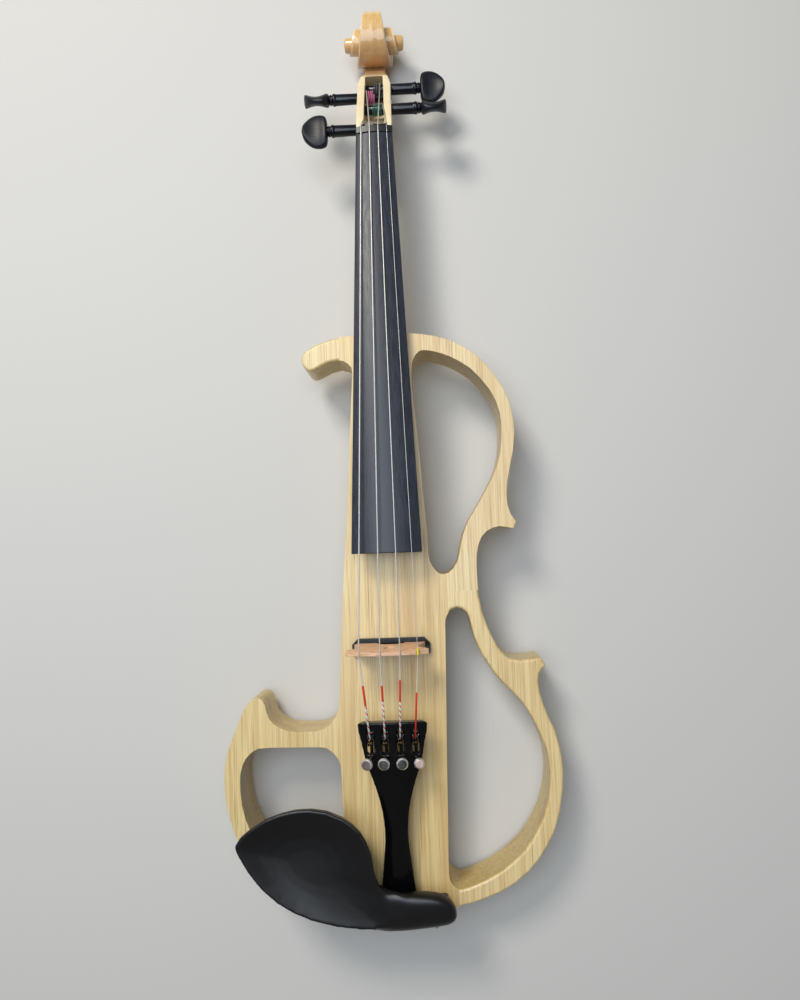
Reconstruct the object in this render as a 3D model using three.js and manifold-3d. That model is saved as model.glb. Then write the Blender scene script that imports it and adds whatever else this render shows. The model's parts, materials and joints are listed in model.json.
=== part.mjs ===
// Electric violin with a sawn skeleton body.
// Millimetres. +X is the treble side, +Y runs towards the scroll and +Z comes out of the front.
// The origin lies on the flat back, straight under the bridge.

import * as THREE from "three";
import { mergeVertices } from "three/addons/utils/BufferGeometryUtils.js";
import Module from "manifold-3d";

const wasm = await Module();
wasm.setup();

// Driving sizes

const stringLength = 328; // bridge to nut
const bout = 100; // the body's outlines are shares of this, about half its width
const thickness = 30; // body, back to front
const boardLength = 270;
const nutWidth = 23.6;
const boardEndWidth = 42.5;
const boardRadius = 42; // arch of the fingerboard, nut and bridge
const boardAtNut = 32; // height of the playing surface over the back, at the nut
const boardAtBridge = 58; // the same surface carried on to the bridge
const boardEdge = 4; // least thickness of the fingerboard
const neckDepthAtNut = 19;
const neckDepthAtBody = 21;
const fit = 0.3; // gap between pieces that are glued or seated on a curve
const running = 0.25; // gap round a turning or sliding piece
const overrun = 3; // how far a cutting solid runs past what it cuts

// Finishes

const finish = (color, roughness, metalness = 0) =>
  new THREE.MeshStandardMaterial({ color, roughness, metalness });
const oak = finish(0xdcb981, 0.35);
const maple = finish(0xe0b26a, 0.3);
const bridgeMaple = finish(0xd9a883, 0.6);
const ebony = finish(0x1b1c20, 0.4);
const blackPlastic = finish(0x17171a, 0.45);
const nickel = finish(0xb9b6ad, 0.3, 1);
const steel = finish(0xc9c8c4, 0.3, 1);
const brass = finish(0xb8964e, 0.35, 1);
const cork = finish(0xb98f62, 0.9);
const green = finish(0x1d5b3a, 0.5);
const yellow = finish(0xe8d21c, 0.5);
const nylon = finish(0x2a2a2c, 0.5);
const batteryCase = finish(0x3a4a6b, 0.4);

// Geometry helpers

const violin = new THREE.Group();
const point = (x, y, z) => new THREE.Vector3(x, y, z);
const ORIGIN = point(0, 0, 0);
const AXIS_X = point(1, 0, 0);
const AXIS_Y = point(0, 1, 0);
const AXIS_Z = point(0, 0, 1);

function toSolid(geometry) {
  const bare = geometry.clone();
  bare.deleteAttribute("normal");
  bare.deleteAttribute("uv");
  const merged = mergeVertices(bare);
  const vertProperties = Float32Array.from(merged.attributes.position.array);
  const triVerts = Uint32Array.from(merged.index.array);
  return new wasm.Manifold(new wasm.Mesh({ numProp: 3, vertProperties, triVerts }));
}

function toGeometry(solid) {
  const mesh = solid.getMesh();
  const geometry = new THREE.BufferGeometry();
  geometry.setAttribute("position", new THREE.BufferAttribute(mesh.vertProperties, 3));
  geometry.setIndex(new THREE.BufferAttribute(mesh.triVerts, 1));
  geometry.computeVertexNormals();
  return geometry;
}

function assembly() {
  const group = new THREE.Group();
  violin.add(group);
  return group;
}

function place(group, name, solid, material, at = ORIGIN) {
  const mesh = new THREE.Mesh(toGeometry(solid), material);
  mesh.name = name;
  mesh.position.copy(at);
  group.add(mesh);
}

function box(x0, x1, y0, y1, z0, z1) {
  const geometry = new THREE.BoxGeometry(x1 - x0, y1 - y0, z1 - z0);
  geometry.translate((x0 + x1) / 2, (y0 + y1) / 2, (z0 + z1) / 2);
  return toSolid(geometry);
}

function rod(from, to, radius, sides = 12) {
  const along = to.clone().sub(from);
  const geometry = new THREE.CylinderGeometry(radius, radius, along.length(), sides);
  geometry.rotateY(Math.PI / sides);
  geometry.applyQuaternion(new THREE.Quaternion().setFromUnitVectors(AXIS_Y, along.clone().normalize()));
  const middle = from.clone().add(to).multiplyScalar(0.5);
  geometry.translate(middle.x, middle.y, middle.z);
  return toSolid(geometry);
}

// A profile of [radius, height] pairs turned about a line from origin along direction.
function turned(profile, origin, direction, sides = 16) {
  const geometry = new THREE.LatheGeometry(profile.map(([r, h]) => new THREE.Vector2(r, h)), sides);
  geometry.applyQuaternion(new THREE.Quaternion().setFromUnitVectors(AXIS_Y, direction));
  geometry.translate(origin.x, origin.y, origin.z);
  return toSolid(geometry);
}

function extruded(outline, depth) {
  const shape = new THREE.Shape(outline.map(([a, b]) => new THREE.Vector2(a, b)));
  return new THREE.ExtrudeGeometry(shape, { depth, bevelEnabled: false });
}

// An outline of [x, y] pairs, standing from z0 to z1.
function plate(outline, z0, z1) {
  const geometry = extruded(outline, z1 - z0);
  geometry.translate(0, 0, z0);
  return toSolid(geometry);
}

// An outline of [y, z] pairs, running from x0 to x1.
function sidePlate(outline, x0, x1) {
  const geometry = extruded(outline, x1 - x0);
  geometry.applyMatrix4(new THREE.Matrix4().makeBasis(AXIS_Y, AXIS_Z, AXIS_X));
  geometry.translate(x0, 0, 0);
  return toSolid(geometry);
}

// Rings of points joined one to the next and closed by a fan at each end.
function loft(rings) {
  const count = rings[0].length;
  const flat = rings.flat();
  const first = new THREE.Vector3();
  rings[0].forEach((p) => first.add(p));
  const last = new THREE.Vector3();
  rings.at(-1).forEach((p) => last.add(p));
  flat.push(first.divideScalar(count), last.divideScalar(count));
  const faces = [];
  const top = (rings.length - 1) * count;
  for (let i = 0; i < count; i += 1) {
    const j = (i + 1) % count;
    for (let k = 0; k < top; k += count) {
      faces.push([k + i, k + j, k + count + j], [k + i, k + count + j, k + count + i]);
    }
    faces.push([flat.length - 2, j, i], [flat.length - 1, top + i, top + j]);
  }
  const volume = faces.reduce((sum, [a, b, c]) => sum + flat[a].dot(flat[b].clone().cross(flat[c])), 0);
  const outward = volume > 0 ? faces : faces.map(([a, b, c]) => [a, c, b]);
  const geometry = new THREE.BufferGeometry().setFromPoints(flat);
  geometry.setIndex(outward.flat());
  return toSolid(geometry);
}

// A round tube through points, mitred at each of them.
function tube(points, radius, sides = 6) {
  const leg = (i) => points[i].clone().sub(points[i - 1]).normalize();
  const first = leg(1);
  const side = (Math.abs(first.x) < 0.9 ? AXIS_X : AXIS_Y).clone();
  side.addScaledVector(first, -side.dot(first)).normalize();
  const rings = points.map((p, i) => {
    const coming = leg(Math.max(i, 1));
    const going = leg(Math.min(i + 1, points.length - 1));
    const mitre = coming.clone().add(going).normalize();
    const up = coming.clone().cross(side);
    const ring = [];
    for (let k = 0; k < sides; k += 1) {
      const turn = (2 * Math.PI * k) / sides;
      const out = side.clone().multiplyScalar(Math.cos(turn)).addScaledVector(up, Math.sin(turn));
      out.addScaledVector(coming, -out.dot(mitre) / coming.dot(mitre));
      ring.push(p.clone().addScaledVector(out, radius));
    }
    side.applyQuaternion(new THREE.Quaternion().setFromUnitVectors(coming, going));
    return ring;
  });
  return loft(rings);
}

const joined = (solids) => solids.reduce((whole, solid) => whole.add(solid));
const cut = (solid, tools) => tools.reduce((left, tool) => left.subtract(tool), solid);
const sized = (shares, unit) => shares.map(([a, b]) => [a * unit, b * unit]);

const bodyGroup = assembly();
const neckGroup = assembly();
const pegGroup = assembly();
const stringGroup = assembly();
const bridgeGroup = assembly();
const tailGroup = assembly();
const chinGroup = assembly();
const backGroup = assembly();

// Body outlines, as shares of the bout, chosen by hand from the photo's edges at the front face

const bodyShares = [
  // round the bass horn and over the top of the block
  [-0.464, 1.747], [-0.49, 1.763], [-0.508, 1.79], [-0.512, 1.83], [-0.5, 1.864], [-0.465, 1.893],
  [-0.4, 1.923], [-0.325, 1.947], [-0.24, 1.96], [-0.16, 1.965], [0.16, 1.965], [0.26, 1.953],
  // treble upper bout and its corner
  [0.345, 1.937], [0.436, 1.906], [0.52, 1.86], [0.59, 1.808], [0.655, 1.74], [0.715, 1.656],
  [0.76, 1.577], [0.793, 1.484], [0.811, 1.39], [0.814, 1.297], [0.802, 1.194], [0.78, 1.103],
  [0.758, 1.0], [0.749, 0.92], [0.752, 0.858], [0.768, 0.797], [0.8, 0.748], [0.782, 0.703],
  // treble waist and the lower corner
  [0.742, 0.713], [0.697, 0.72], [0.656, 0.712], [0.616, 0.692], [0.584, 0.659], [0.562, 0.61],
  [0.55, 0.55], [0.544, 0.48], [0.545, 0.4], [0.551, 0.3], [0.568, 0.2], [0.594, 0.118], [0.622, 0.047],
  [0.655, -0.02], [0.694, -0.072], [0.735, -0.096], [0.785, -0.104], [0.87, -0.097], [0.91, -0.088],
  [0.94, -0.135], [0.938, -0.15], [0.917, -0.169], [0.901, -0.195], [0.894, -0.235], [0.899, -0.29],
  // treble lower bout and the tail
  [0.915, -0.36], [0.945, -0.45], [0.978, -0.52], [1.0, -0.6], [1.016, -0.69], [1.021, -0.79],
  [1.014, -0.89], [0.99, -1.02], [0.954, -1.135], [0.907, -1.22], [0.85, -1.303], [0.785, -1.373],
  [0.703, -1.438], [0.618, -1.486], [0.525, -1.523], [0.44, -1.55], [0.36, -1.566], [0.2, -1.587],
  [0, -1.595], [-0.2, -1.587], [-0.36, -1.566], [-0.5, -1.533], [-0.62, -1.49], [-0.72, -1.44],
  // bass lower bout and its horn
  [-0.82, -1.37], [-0.9, -1.29], [-0.96, -1.2], [-1.002, -1.114], [-1.035, -1.0], [-1.056, -0.89],
  [-1.061, -0.79], [-1.054, -0.7], [-1.035, -0.615], [-1.002, -0.525], [-0.965, -0.44], [-0.932, -0.368],
  [-0.908, -0.327], [-0.885, -0.305], [-0.86, -0.293], [-0.835, -0.292], [-0.812, -0.307],
  // the hollow beside the horn
  [-0.797, -0.335], [-0.79, -0.372], [-0.773, -0.42], [-0.744, -0.454], [-0.704, -0.48], [-0.656, -0.498],
  [-0.58, -0.503], [-0.49, -0.503], [-0.436, -0.492], [-0.395, -0.465], [-0.36, -0.42], [-0.339, -0.365],
  // bass edge of the block and the underside of the bass horn
  [-0.328, -0.27], [-0.312, 0], [-0.29, 0.36], [-0.245, 0.92], [-0.203, 1.55], [-0.19, 1.723],
  [-0.194, 1.757], [-0.215, 1.783], [-0.246, 1.803], [-0.282, 1.808], [-0.346, 1.795], [-0.4, 1.769],
  [-0.438, 1.75],
];
const upperOpeningShares = [
  [0.24, 1.845], [0.266, 1.849], [0.312, 1.843], [0.37, 1.826], [0.432, 1.801], [0.495, 1.764],
  [0.556, 1.721], [0.616, 1.654], [0.671, 1.58], [0.708, 1.504], [0.729, 1.428], [0.734, 1.353],
  [0.731, 1.266], [0.72, 1.18], [0.698, 1.1], [0.662, 1.02], [0.62, 0.945], [0.578, 0.875], [0.536, 0.81],
  [0.5, 0.753], [0.474, 0.691], [0.454, 0.623], [0.44, 0.556], [0.427, 0.511], [0.403, 0.472],
  [0.368, 0.442], [0.334, 0.435], [0.306, 0.445], [0.278, 0.476], [0.257, 0.517], [0.25, 0.562],
  [0.247, 0.699], [0.234, 0.894], [0.22, 1.148], [0.202, 1.404], [0.19, 1.55], [0.183, 1.697],
  [0.192, 1.778], [0.213, 1.82],
];
const lowerOpeningShares = [
  [0.411, 0.226], [0.442, 0.22], [0.472, 0.195], [0.486, 0.16], [0.496, 0.11], [0.51, 0.05],
  [0.53, -0.01], [0.558, -0.07], [0.593, -0.13], [0.64, -0.2], [0.694, -0.259], [0.738, -0.305],
  [0.782, -0.358], [0.822, -0.415], [0.859, -0.488], [0.892, -0.565], [0.918, -0.633], [0.932, -0.7],
  [0.938, -0.79], [0.932, -0.87], [0.917, -0.955], [0.89, -1.04], [0.855, -1.11], [0.813, -1.178],
  [0.761, -1.247], [0.686, -1.313], [0.615, -1.364], [0.533, -1.41], [0.452, -1.443], [0.402, -1.46],
  [0.371, -1.465], [0.345, -1.455], [0.322, -1.436], [0.307, -1.407], [0.302, -1.365], [0.306, -1.17],
  [0.312, -0.933], [0.317, -0.695], [0.325, -0.33], [0.332, -0.09], [0.338, 0.133], [0.342, 0.164],
  [0.355, 0.191], [0.379, 0.216],
];
const bassOpeningShares = [
  [-0.77, -0.595], [-0.465, -0.599], [-0.421, -0.608], [-0.381, -0.637], [-0.348, -0.678],
  [-0.336, -0.718], [-0.332, -0.86], [-0.326, -1.06], [-0.326, -1.3], [-0.335, -1.38], [-0.37, -1.435],
  [-0.42, -1.455], [-0.5, -1.448], [-0.58, -1.42], [-0.67, -1.362], [-0.76, -1.29], [-0.84, -1.2],
  [-0.895, -1.115], [-0.931, -1.029], [-0.952, -0.94], [-0.962, -0.85], [-0.962, -0.79], [-0.957, -0.745],
  [-0.944, -0.7], [-0.924, -0.66], [-0.89, -0.625], [-0.848, -0.602],
];
const hornGlueShare = -0.27; // the horn's board starts here
const upperBowGlueShare = 0.25; // and the treble upper bow's here
const sideGlueShare = 0.36; // and both lower bows' here, either side of the block
const bowJoinShare = 0.33; // height of the joint between the two treble bows
const glueSplitShare = 1; // between the top and bottom ends of the upper opening
const tailShare = -1.595;
const blockHalfShare = 0.3; // least half width of the block over the tail
const blockHalf = blockHalfShare * bout;
const tail = tailShare * bout;

// Nut, fingerboard and neck heights

const nutDepth = 4.7;
const nutGap = fit;
const nutFront = stringLength;
const nutBack = nutFront + nutDepth;
const boardSlope = (boardAtBridge - boardAtNut) / stringLength;
const boardTop = (y) => boardAtNut + (stringLength - y) * boardSlope;
const arch = (x) => boardRadius - Math.sqrt(boardRadius ** 2 - x ** 2);
const boardEnd = nutFront - boardLength;
const boardHalf = (y) => (nutWidth + ((boardEndWidth - nutWidth) * (nutFront - y)) / boardLength) / 2;
const boardUnderAtNut = boardTop(nutFront) - arch(boardHalf(nutFront)) - boardEdge;
const boardUnderAtEnd = boardTop(boardEnd) - arch(boardHalf(boardEnd)) - boardEdge;
const underSlope = (boardUnderAtEnd - boardUnderAtNut) / boardLength;
const boardUnder = (y) => boardUnderAtNut + (nutFront - y) * underSlope;
const neckTop = (y) => boardUnder(y) - fit;

// Strings: where each runs across, over the bridge and under which peg

const bridgeSpacing = 11.33;
const nutSpacing = 5.5;
const tailSpacing = 8.9;
const stringOverBoard = 0.5; // clearance at the nut
const stringSeat = 0.15; // clearance over nut, bridge and fork, so that no pieces overlap
const placeShare = { g: -1.5, d: -0.5, a: 0.5, e: 1.5 };
const bridgePlaceShare = { g: -1.54, d: -0.44, a: 0.58, e: 1.48 };
const stringRadius = { g: 0.42, d: 0.4, a: 0.36, e: 0.18 };
const action = { g: 6.6, d: 5.6, a: 4.9, e: 4.1 }; // over the fingerboard's surface, carried on to the bridge
const pegSide = { g: -1, d: -1, a: 1, e: 1 };
const strings = ["g", "d", "a", "e"].map((name) => ({
  name,
  across: placeShare[name],
  over: bridgePlaceShare[name] * bridgeSpacing,
  radius: stringRadius[name],
  height: boardAtBridge - arch(bridgePlaceShare[name] * bridgeSpacing) + action[name],
  side: pegSide[name],
}));
const nutX = (string) => string.across * nutSpacing;
const nutZ = (string) => boardAtNut - arch(nutX(string)) + stringOverBoard + string.radius;

// Pegbox: its side profile starts at the back corner of the nut and falls towards the scroll

const pegboxLength = 47;
const pegboxDrop = 20;
const cheekTop = 30; // height of the cheeks behind the nut
const pegboxHalf = 11.7; // half width at the nut
const pegboxHalfShares = [
  // along the pegbox, half width
  [0.84, 0.957], [0.93, 0.872], [1.02, 0.76], [1.1, 0.684], [1.16, 0.615], [1.64, 0.615],
];
const mouthHalf = 6.8; // inside
const mouthEndHalf = 5.8;
const reliefHalfBass = 9; // the cheeks are cut back here for the outer strings
const reliefHalfTreble = 8.8;
const reliefTaperBass = 6.2;
const reliefTaperTreble = 16;
const pegAlongShare = { g: 0.062, d: 0.695, a: 0.88, e: 0.435 };
const pegDownShare = { g: 0.41, d: 1.1, a: 1.375, e: 0.8 };
const pegBackShares = [
  [-0.13, 0.86], [0.05, 1.0], [0.25, 1.26], [0.46, 1.6], [0.68, 1.97], [0.89, 2.3], [1.1, 2.53],
  [1.32, 2.7], [1.52, 2.76],
];
const throatShares = [[1.62, 2.2], [1.36, 1.95]];
const mouthFloorShares = [
  [-0.045, 0.66], [0.11, 0.84], [0.25, 0.98], [0.46, 1.3], [0.68, 1.68], [0.89, 2], [1, 2.05],
];
const cheekShares = [[0, 0], [0.15, 0.07], [0.36, 0.29], [0.57, 0.55], [0.8, 0.82], [1, 1]];
const alongPegbox = (share) => nutBack + share * pegboxLength;
const downPegbox = (share) => cheekTop - share * pegboxDrop;

// Pegs

const pegRadius = 3.65;
const pegTipRadius = 3.3;
const pegTipOut = 0.3; // the tip stands out of the far cheek by this
const pegShoulder = 26.6; // from the middle of the box to the first collar
const pegHeadLength = 17.2;
const pegHeadHalf = 11.2;
const pegHeadThick = 8.6;
const pegHeadShares = [
  // out along the shaft, half width, thickness, from the flat shoulder to the round end
  [0, 0.3, 0.3], [0.02, 0.62, 0.8], [0.08, 0.86, 1], [0.2, 0.97, 0.84], [0.33, 1, 0.64], [0.5, 0.97, 0.56],
  [0.66, 0.86, 0.62], [0.8, 0.68, 0.75], [0.9, 0.5, 0.86], [0.97, 0.28, 0.86], [1, 0.1, 0.5],
];
const pegHeadSectionShares = [
  // half width, half thickness
  [1, 0], [0.93, 0.55], [0.72, 0.9], [0, 1], [-0.72, 0.9], [-0.93, 0.55], [-1, 0], [-0.93, -0.55],
  [-0.72, -0.9], [0, -1], [0.72, -0.9], [0.93, -0.55],
];
const edgeOn = 121.5; // degrees that the heads of the middle two strings' pegs are turned
const collarRadius = 4;
const secondCollarRadius = 3.5;
const neckRingRadius = 3.1;
const collarWidth = 2;
const windingTurns = { g: 4, d: 4, a: 4, e: 8 };
const windingStartShare = { g: -0.84, d: -0.82, a: 0.6, e: 0.79 }; // of the inside half width
const loopGap = 0.45;
const loopSteps = 16;
const windingSides = 5;
const pegCentre = (name) => point(0, alongPegbox(pegAlongShare[name]), downPegbox(pegDownShare[name]));

// Bridge and pickup

const barLength = 48;
const barDepth = 11.4;
const barHeight = 3.2;
const barChamfer = 3.5;
const piezoLength = 40;
const piezoWidth = 3;
const piezoThick = 1;
const footSpan = 42;
const footLength = 12.5;
const bridgeFootDepth = 6;
const bridgeCrownDepth = 1.8;
const wingBass = 25.9;
const wingTreble = 23.2;
const leadRadius = 0.9;
const leadAcross = -16;
const leadBoreRadius = 1.6;
const leadHeight = 14;
const sleeveRadius = 0.75;
const sleeveFront = 2.5; // of the bridge's middle
const sleeveBehind = 1.4;

// Tailpiece and fine tuners

const tailpieceTop = 41.5; // distance of its wide end from the bridge
const gutLength = 12.5; // shows between its narrow end and the tail
const tailpieceLength = -tail - tailpieceTop - gutLength;
const tailpieceHalf = 20.9;
const tailpieceHigh = 51; // height of its wide end
const tailpieceLow = 40; // height of its narrow end
const tailpieceThick = 7.5;
const tailpieceShares = [
  // along, half width, drop of the edge as a share of the half width
  [0, 0.93, 0.1], [0.01, 1, 0.11], [0.055, 0.976, 0.11], [0.105, 0.914, 0.115], [0.15, 0.871, 0.12],
  [0.2, 0.823, 0.125], [0.245, 0.751, 0.13], [0.28, 0.7, 0.14], [0.332, 0.608, 0.17], [0.39, 0.517, 0.2],
  [0.45, 0.44, 0.26], [0.51, 0.383, 0.32], [0.57, 0.349, 0.36], [0.63, 0.335, 0.38], [0.687, 0.344, 0.4],
  [0.746, 0.373, 0.38], [0.804, 0.411, 0.36], [0.863, 0.44, 0.34], [0.92, 0.474, 0.32], [0.967, 0.5, 0.3],
  [1, 0.42, 0.3],
];
const forkY = -50;
const forkThick = 2.8;
const forkLip = 1.1; // of the fork over the string
const leverWidth = 2.4;
const leverArmTop = 40.1;
const leverArmThick = 2.1;
const leverPivotZ = 44.6;
const leverReach = 17.5;
const axleRadius = 0.8;
const slotWidth = 4.2;
const slotTop = 45.3;
const slotEnd = 60.6;
const ballHeight = 49.8;
const ballRadius = 1.7;
const ballLength = 3;
const screwY = -64.4;
const screwHeadRadius = 3.5;
const screwHeadThick = 2.8;
const screwHeadTop = 55;
const screwShank = 1.1;
const screwTilt = 0.14; // of the outer two, radians
const innerTiltShare = 0.5; // and of the inner two
const gutRadius = 1.2;
const gutHalf = 4;

// Tail fittings

const saddleHalf = 12.4;
const saddleDepth = 6.5;
const saddleHeight = 2.4; // above the front
const saddleSeat = 5; // below the front
const saddleRound = 1;
const buttonRadius = 3.9;
const buttonHeadRadius = 8;
const buttonNeck = 4;
const buttonHeadLength = 8;
const buttonInside = 24;
const buttonZ = 15;

// Chin rest and its clamp

const chinBottom = 31.5;
const corkThick = 1.5;
const footInner = saddleHalf + 2 * fit;
const bassFootOverhang = 4; // past the treble side's least half width
const trebleFootInset = 1;
const footOuterBass = blockHalf + bassFootOverhang;
const footOuterTreble = blockHalf - trebleFootInset;
const footInset = 3.5; // from the tail
const footDepth = 9;
const footBack = tail + footInset;
const footFront = footBack + footDepth;
const chinFootTop = 46;
const chinCentreShares = [-0.52, -1.24];
const chinShares = [
  // across, along, height of the rim there
  [-0.935, -1.085, 0.97], [-0.9, -1.032, 0.99], [-0.843, -0.987, 1], [-0.762, -0.938, 1],
  [-0.674, -0.907, 1], [-0.586, -0.888, 1], [-0.49, -0.884, 1], [-0.394, -0.899, 1], [-0.299, -0.938, 1],
  [-0.243, -0.976, 0.99], [-0.197, -1.024, 0.97], [-0.165, -1.08, 0.94], [-0.143, -1.143, 0.9],
  [-0.132, -1.21, 0.85], [-0.12, -1.279, 0.79], [-0.1, -1.345, 0.72], [-0.065, -1.395, 0.67],
  [-0.03, -1.46, 0.62], [-0.03, -1.55, 0.56], [-0.08, -1.597, 0.52], [-0.22, -1.593, 0.54],
  [-0.365, -1.572, 0.58], [-0.5, -1.533, 0.64], [-0.605, -1.485, 0.7], [-0.701, -1.422, 0.77],
  [-0.787, -1.341, 0.83], [-0.853, -1.255, 0.88], [-0.901, -1.174, 0.92], [-0.929, -1.116, 0.95],
];
const chinLow = 43;
const chinHigh = 57.5;
const chinLevelShares = [
  // spread from the centre, height between low and the rim there, and how far the rim's height counts
  [0.3, 0, 1], [0.72, 0.03, 1], [0.91, 0.18, 1], [0.965, 0.5, 1], [0.988, 0.8, 1], [1, 0.95, 1],
  [0.992, 1, 1], [0.955, 0.985, 1],
  [0.85, 0.86, 0.9], [0.7, 0.68, 0.65], [0.5, 0.52, 0.3], [0.3, 0.45, 0.1], [0.1, 0.43, 0],
];
const armInset = 7.5; // of the arm's middle from the tail
const armCentre = tail + armInset;
const armShares = [
  // along the arm, to its front, to its rear, bottom, top
  [-0.75, 0.5, -0.75, 0.1, 0.4], [-0.45, 1.5, -0.95, 0.04, 0.74], [-0.3, 1.62, -1.06, 0.01, 0.83],
  [-0.19, 1.4, -1.08, 0, 0.88], [-0.09, 1.16, -1.07, 0, 0.92], [0.03, 1.02, -1.05, 0, 0.96],
  [0.14, 1.06, -1.02, 0, 0.99], [0.26, 1.24, -0.99, 0, 1], [0.45, 1.26, -0.92, 0, 1],
  [0.62, 1.2, -0.86, 0, 0.98], [0.76, 1.08, -0.8, 0, 0.93], [0.87, 0.86, -0.73, 0.02, 0.83],
  [0.95, 0.56, -0.6, 0.08, 0.7], [0.988, 0.26, -0.42, 0.16, 0.57], [1, 0, -0.26, 0.24, 0.46],
];
const armSectionShares = [
  // depth, height, round the arm from the foot of its upright front
  [0.96, 0], [1, 0.12], [0.99, 0.4], [0.95, 0.7], [0.87, 0.9], [0.72, 1], [0.35, 0.98], [-0.2, 0.88],
  [-0.66, 0.7], [-0.93, 0.46], [-1, 0.26], [-0.92, 0.08], [-0.7, 0],
];
const armReach = 34.3;
const armHalf = 10;
const armBottom = 43.4;
const armTop = 53.4;
const legAcross = 22;
const legRadius = 1.5;
const legOut = 5.4; // outside the tail
const legOutY = tail - legOut;
const legZ = 37;
const bracketInset = 9;
const bracketY = tail + bracketInset;
const bracketZ = 41.4;
const barrelRadius = 3.2;
const barrelBottom = 8.5;
const barrelTop = 23.5;
const legTopEnd = 17;
const legFootTop = 14.5;
const footPlateThick = 3;
const footPlateHalf = 27;
const footPlateInset = 2.5;
const footPlateDepth = 10;
const footPlateBack = tail + footPlateInset;
const footPlateFront = footPlateBack + footPlateDepth;
const barrelHoleRadius = 0.9;

// Electronics in the back of the block

const ledge = 4; // the cover's seat beside the cavity
const endLedge = 7; // and at its ends, for the screws
const blockWall = 2; // least wood beside the cover
const tailWood = 27; // solid wood between the cavity and the tail
const cavityLength = 96;
const coverHalf = blockHalf - blockWall;
const cavityHalf = coverHalf - ledge;
const cavityEnd = tail + tailWood;
const cavityTop = cavityEnd + cavityLength;
const cavityDepth = 21.4;
const coverTop = cavityTop + endLedge;
const coverEnd = cavityEnd - endLedge;
const coverThick = 2.6;
const coverSink = 0.3;
const screwInset = 3.4;
const woodScrewRadius = 1.1;
const woodScrewHead = 2;
const woodScrewLength = 9;
const knobAcross = cavityHalf / 2;
const knobInset = 16; // of the knobs from the cavity's top
const knobY = cavityTop - knobInset;
const knobRadius = 8;
const knobThick = 10;
const knobSink = 0.5;
const shaftRadius = 2.7;
const potRadius = 7.4;
const boardZ = 19.5;
const circuitThick = 1.6;
const circuitRoom = 3; // beside the board
const circuitHalf = cavityHalf - circuitRoom;
const circuitInset = 2;
const circuitLength = 37;
const circuitTop = cavityTop - circuitInset;
const circuitEnd = circuitTop - circuitLength;
const batteryHalf = 13.25;
const batteryLength = 48.5;
const batteryThick = 17.5;
const batteryRoom = 2;
const batteryEnd = cavityEnd + batteryRoom;
const doorSide = 1.95; // the door is wider than the battery by this each side
const doorHalf = batteryHalf + doorSide;
const doorReach = 1.9; // and its axis lies this far past the battery's top
const doorAxisY = batteryEnd + batteryLength + doorReach;
const doorAxisZ = 1.4;
const doorRadius = 1;
const doorPin = 0.6;
const doorPinOut = 1.4;
const doorLip = 1.5;
const snapThick = 2.4;
const jackZ = 11;
const jackReach = 11.5; // from the battery to the jack's axis
const jackY = batteryEnd + batteryLength + jackReach;
const jackRadius = 5.8;
const jackBore = 3.25;
const jackLength = 27;
const jackFlange = 7.4;
const jackFlangeThick = 2;
const wallShare = 0.314; // where the wall stands beside the jack
const wallAtJack = wallShare * bout;

// Body: one sawn outline with three openings, parted along its glue lines

function makeBody() {
  const openings = [upperOpeningShares, lowerOpeningShares, bassOpeningShares];
  const holes = openings.map((shares) => plate(sized(shares, bout), -overrun, thickness + overrun));
  const whole = cut(plate(sized(bodyShares, bout), 0, thickness), holes);
  const far = 2 * bout;
  const split = glueSplitShare * bout;
  const join = bowJoinShare * bout;
  const side = sideGlueShare * bout;
  const z0 = -overrun;
  const z1 = thickness + overrun;
  const horn = box(-far, hornGlueShare * bout, split, far, z0, z1);
  const upper = joined([
    box(upperBowGlueShare * bout, far, split, far, z0, z1),
    box(side, far, join, split, z0, z1),
  ]);
  const lower = box(side, far, -far, join, z0, z1);
  const bass = box(-far, -side, -far, 0, z0, z1);
  place(bodyGroup, "bass_horn", whole.intersect(horn), oak);
  place(bodyGroup, "treble_upper_bow", whole.intersect(upper), oak);
  place(bodyGroup, "treble_lower_bow", whole.intersect(lower), oak);
  place(bodyGroup, "bass_lower_bow", whole.intersect(bass), oak);
  place(bodyGroup, "centre_block", cut(cut(whole, [horn, upper, lower, bass]), blockCuts()), oak);
}

const tenonHalf = 14;
const tenonEnd = 166;
const tenonFloor = 6;
const blockTop = 1.965 * bout;

function blockCuts() {
  const mortise = box(
    -tenonHalf - fit, tenonHalf + fit, tenonEnd - fit, blockTop + overrun, tenonFloor, thickness + overrun,
  );
  const cavity = box(-cavityHalf, cavityHalf, cavityEnd, cavityTop, -overrun, cavityDepth);
  const ledge = box(-coverHalf, coverHalf, coverEnd, coverTop, -overrun, coverThick);
  const leadDrop = rod(
    point(leadAcross, 0, leadHeight), point(leadAcross, 0, thickness + overrun), leadBoreRadius,
  );
  const leadRun = rod(
    point(leadAcross, leadBoreRadius, leadHeight), point(leadAcross, cavityTop - overrun, leadHeight),
    leadBoreRadius,
  );
  const saddleSlot = box(
    -saddleHalf - fit, saddleHalf + fit, tail - overrun, tail + saddleDepth, thickness - saddleSeat,
    thickness + overrun,
  );
  const buttonHole = rod(
    point(0, tail - overrun, buttonZ), point(0, tail + buttonInside + fit, buttonZ), buttonRadius + fit,
  );
  const jackHole = rod(
    point(cavityHalf - overrun, jackY, jackZ), point(blockHalf + overrun, jackY, jackZ), jackRadius + fit, 16,
  );
  const jackSeat = rod(
    point(wallAtJack - jackFlangeThick - fit, jackY, jackZ), point(wallAtJack + overrun, jackY, jackZ),
    jackFlange + fit, 16,
  );
  const pilots = coverScrewPlaces().map(([x, y]) =>
    rod(point(x, y, 0), point(x, y, woodScrewLength + fit), woodScrewRadius + fit, 8));
  const cuts = [mortise, cavity, ledge, leadDrop, leadRun, saddleSlot, buttonHole];
  return [...cuts, jackHole, jackSeat, ...pilots];
}

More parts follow.
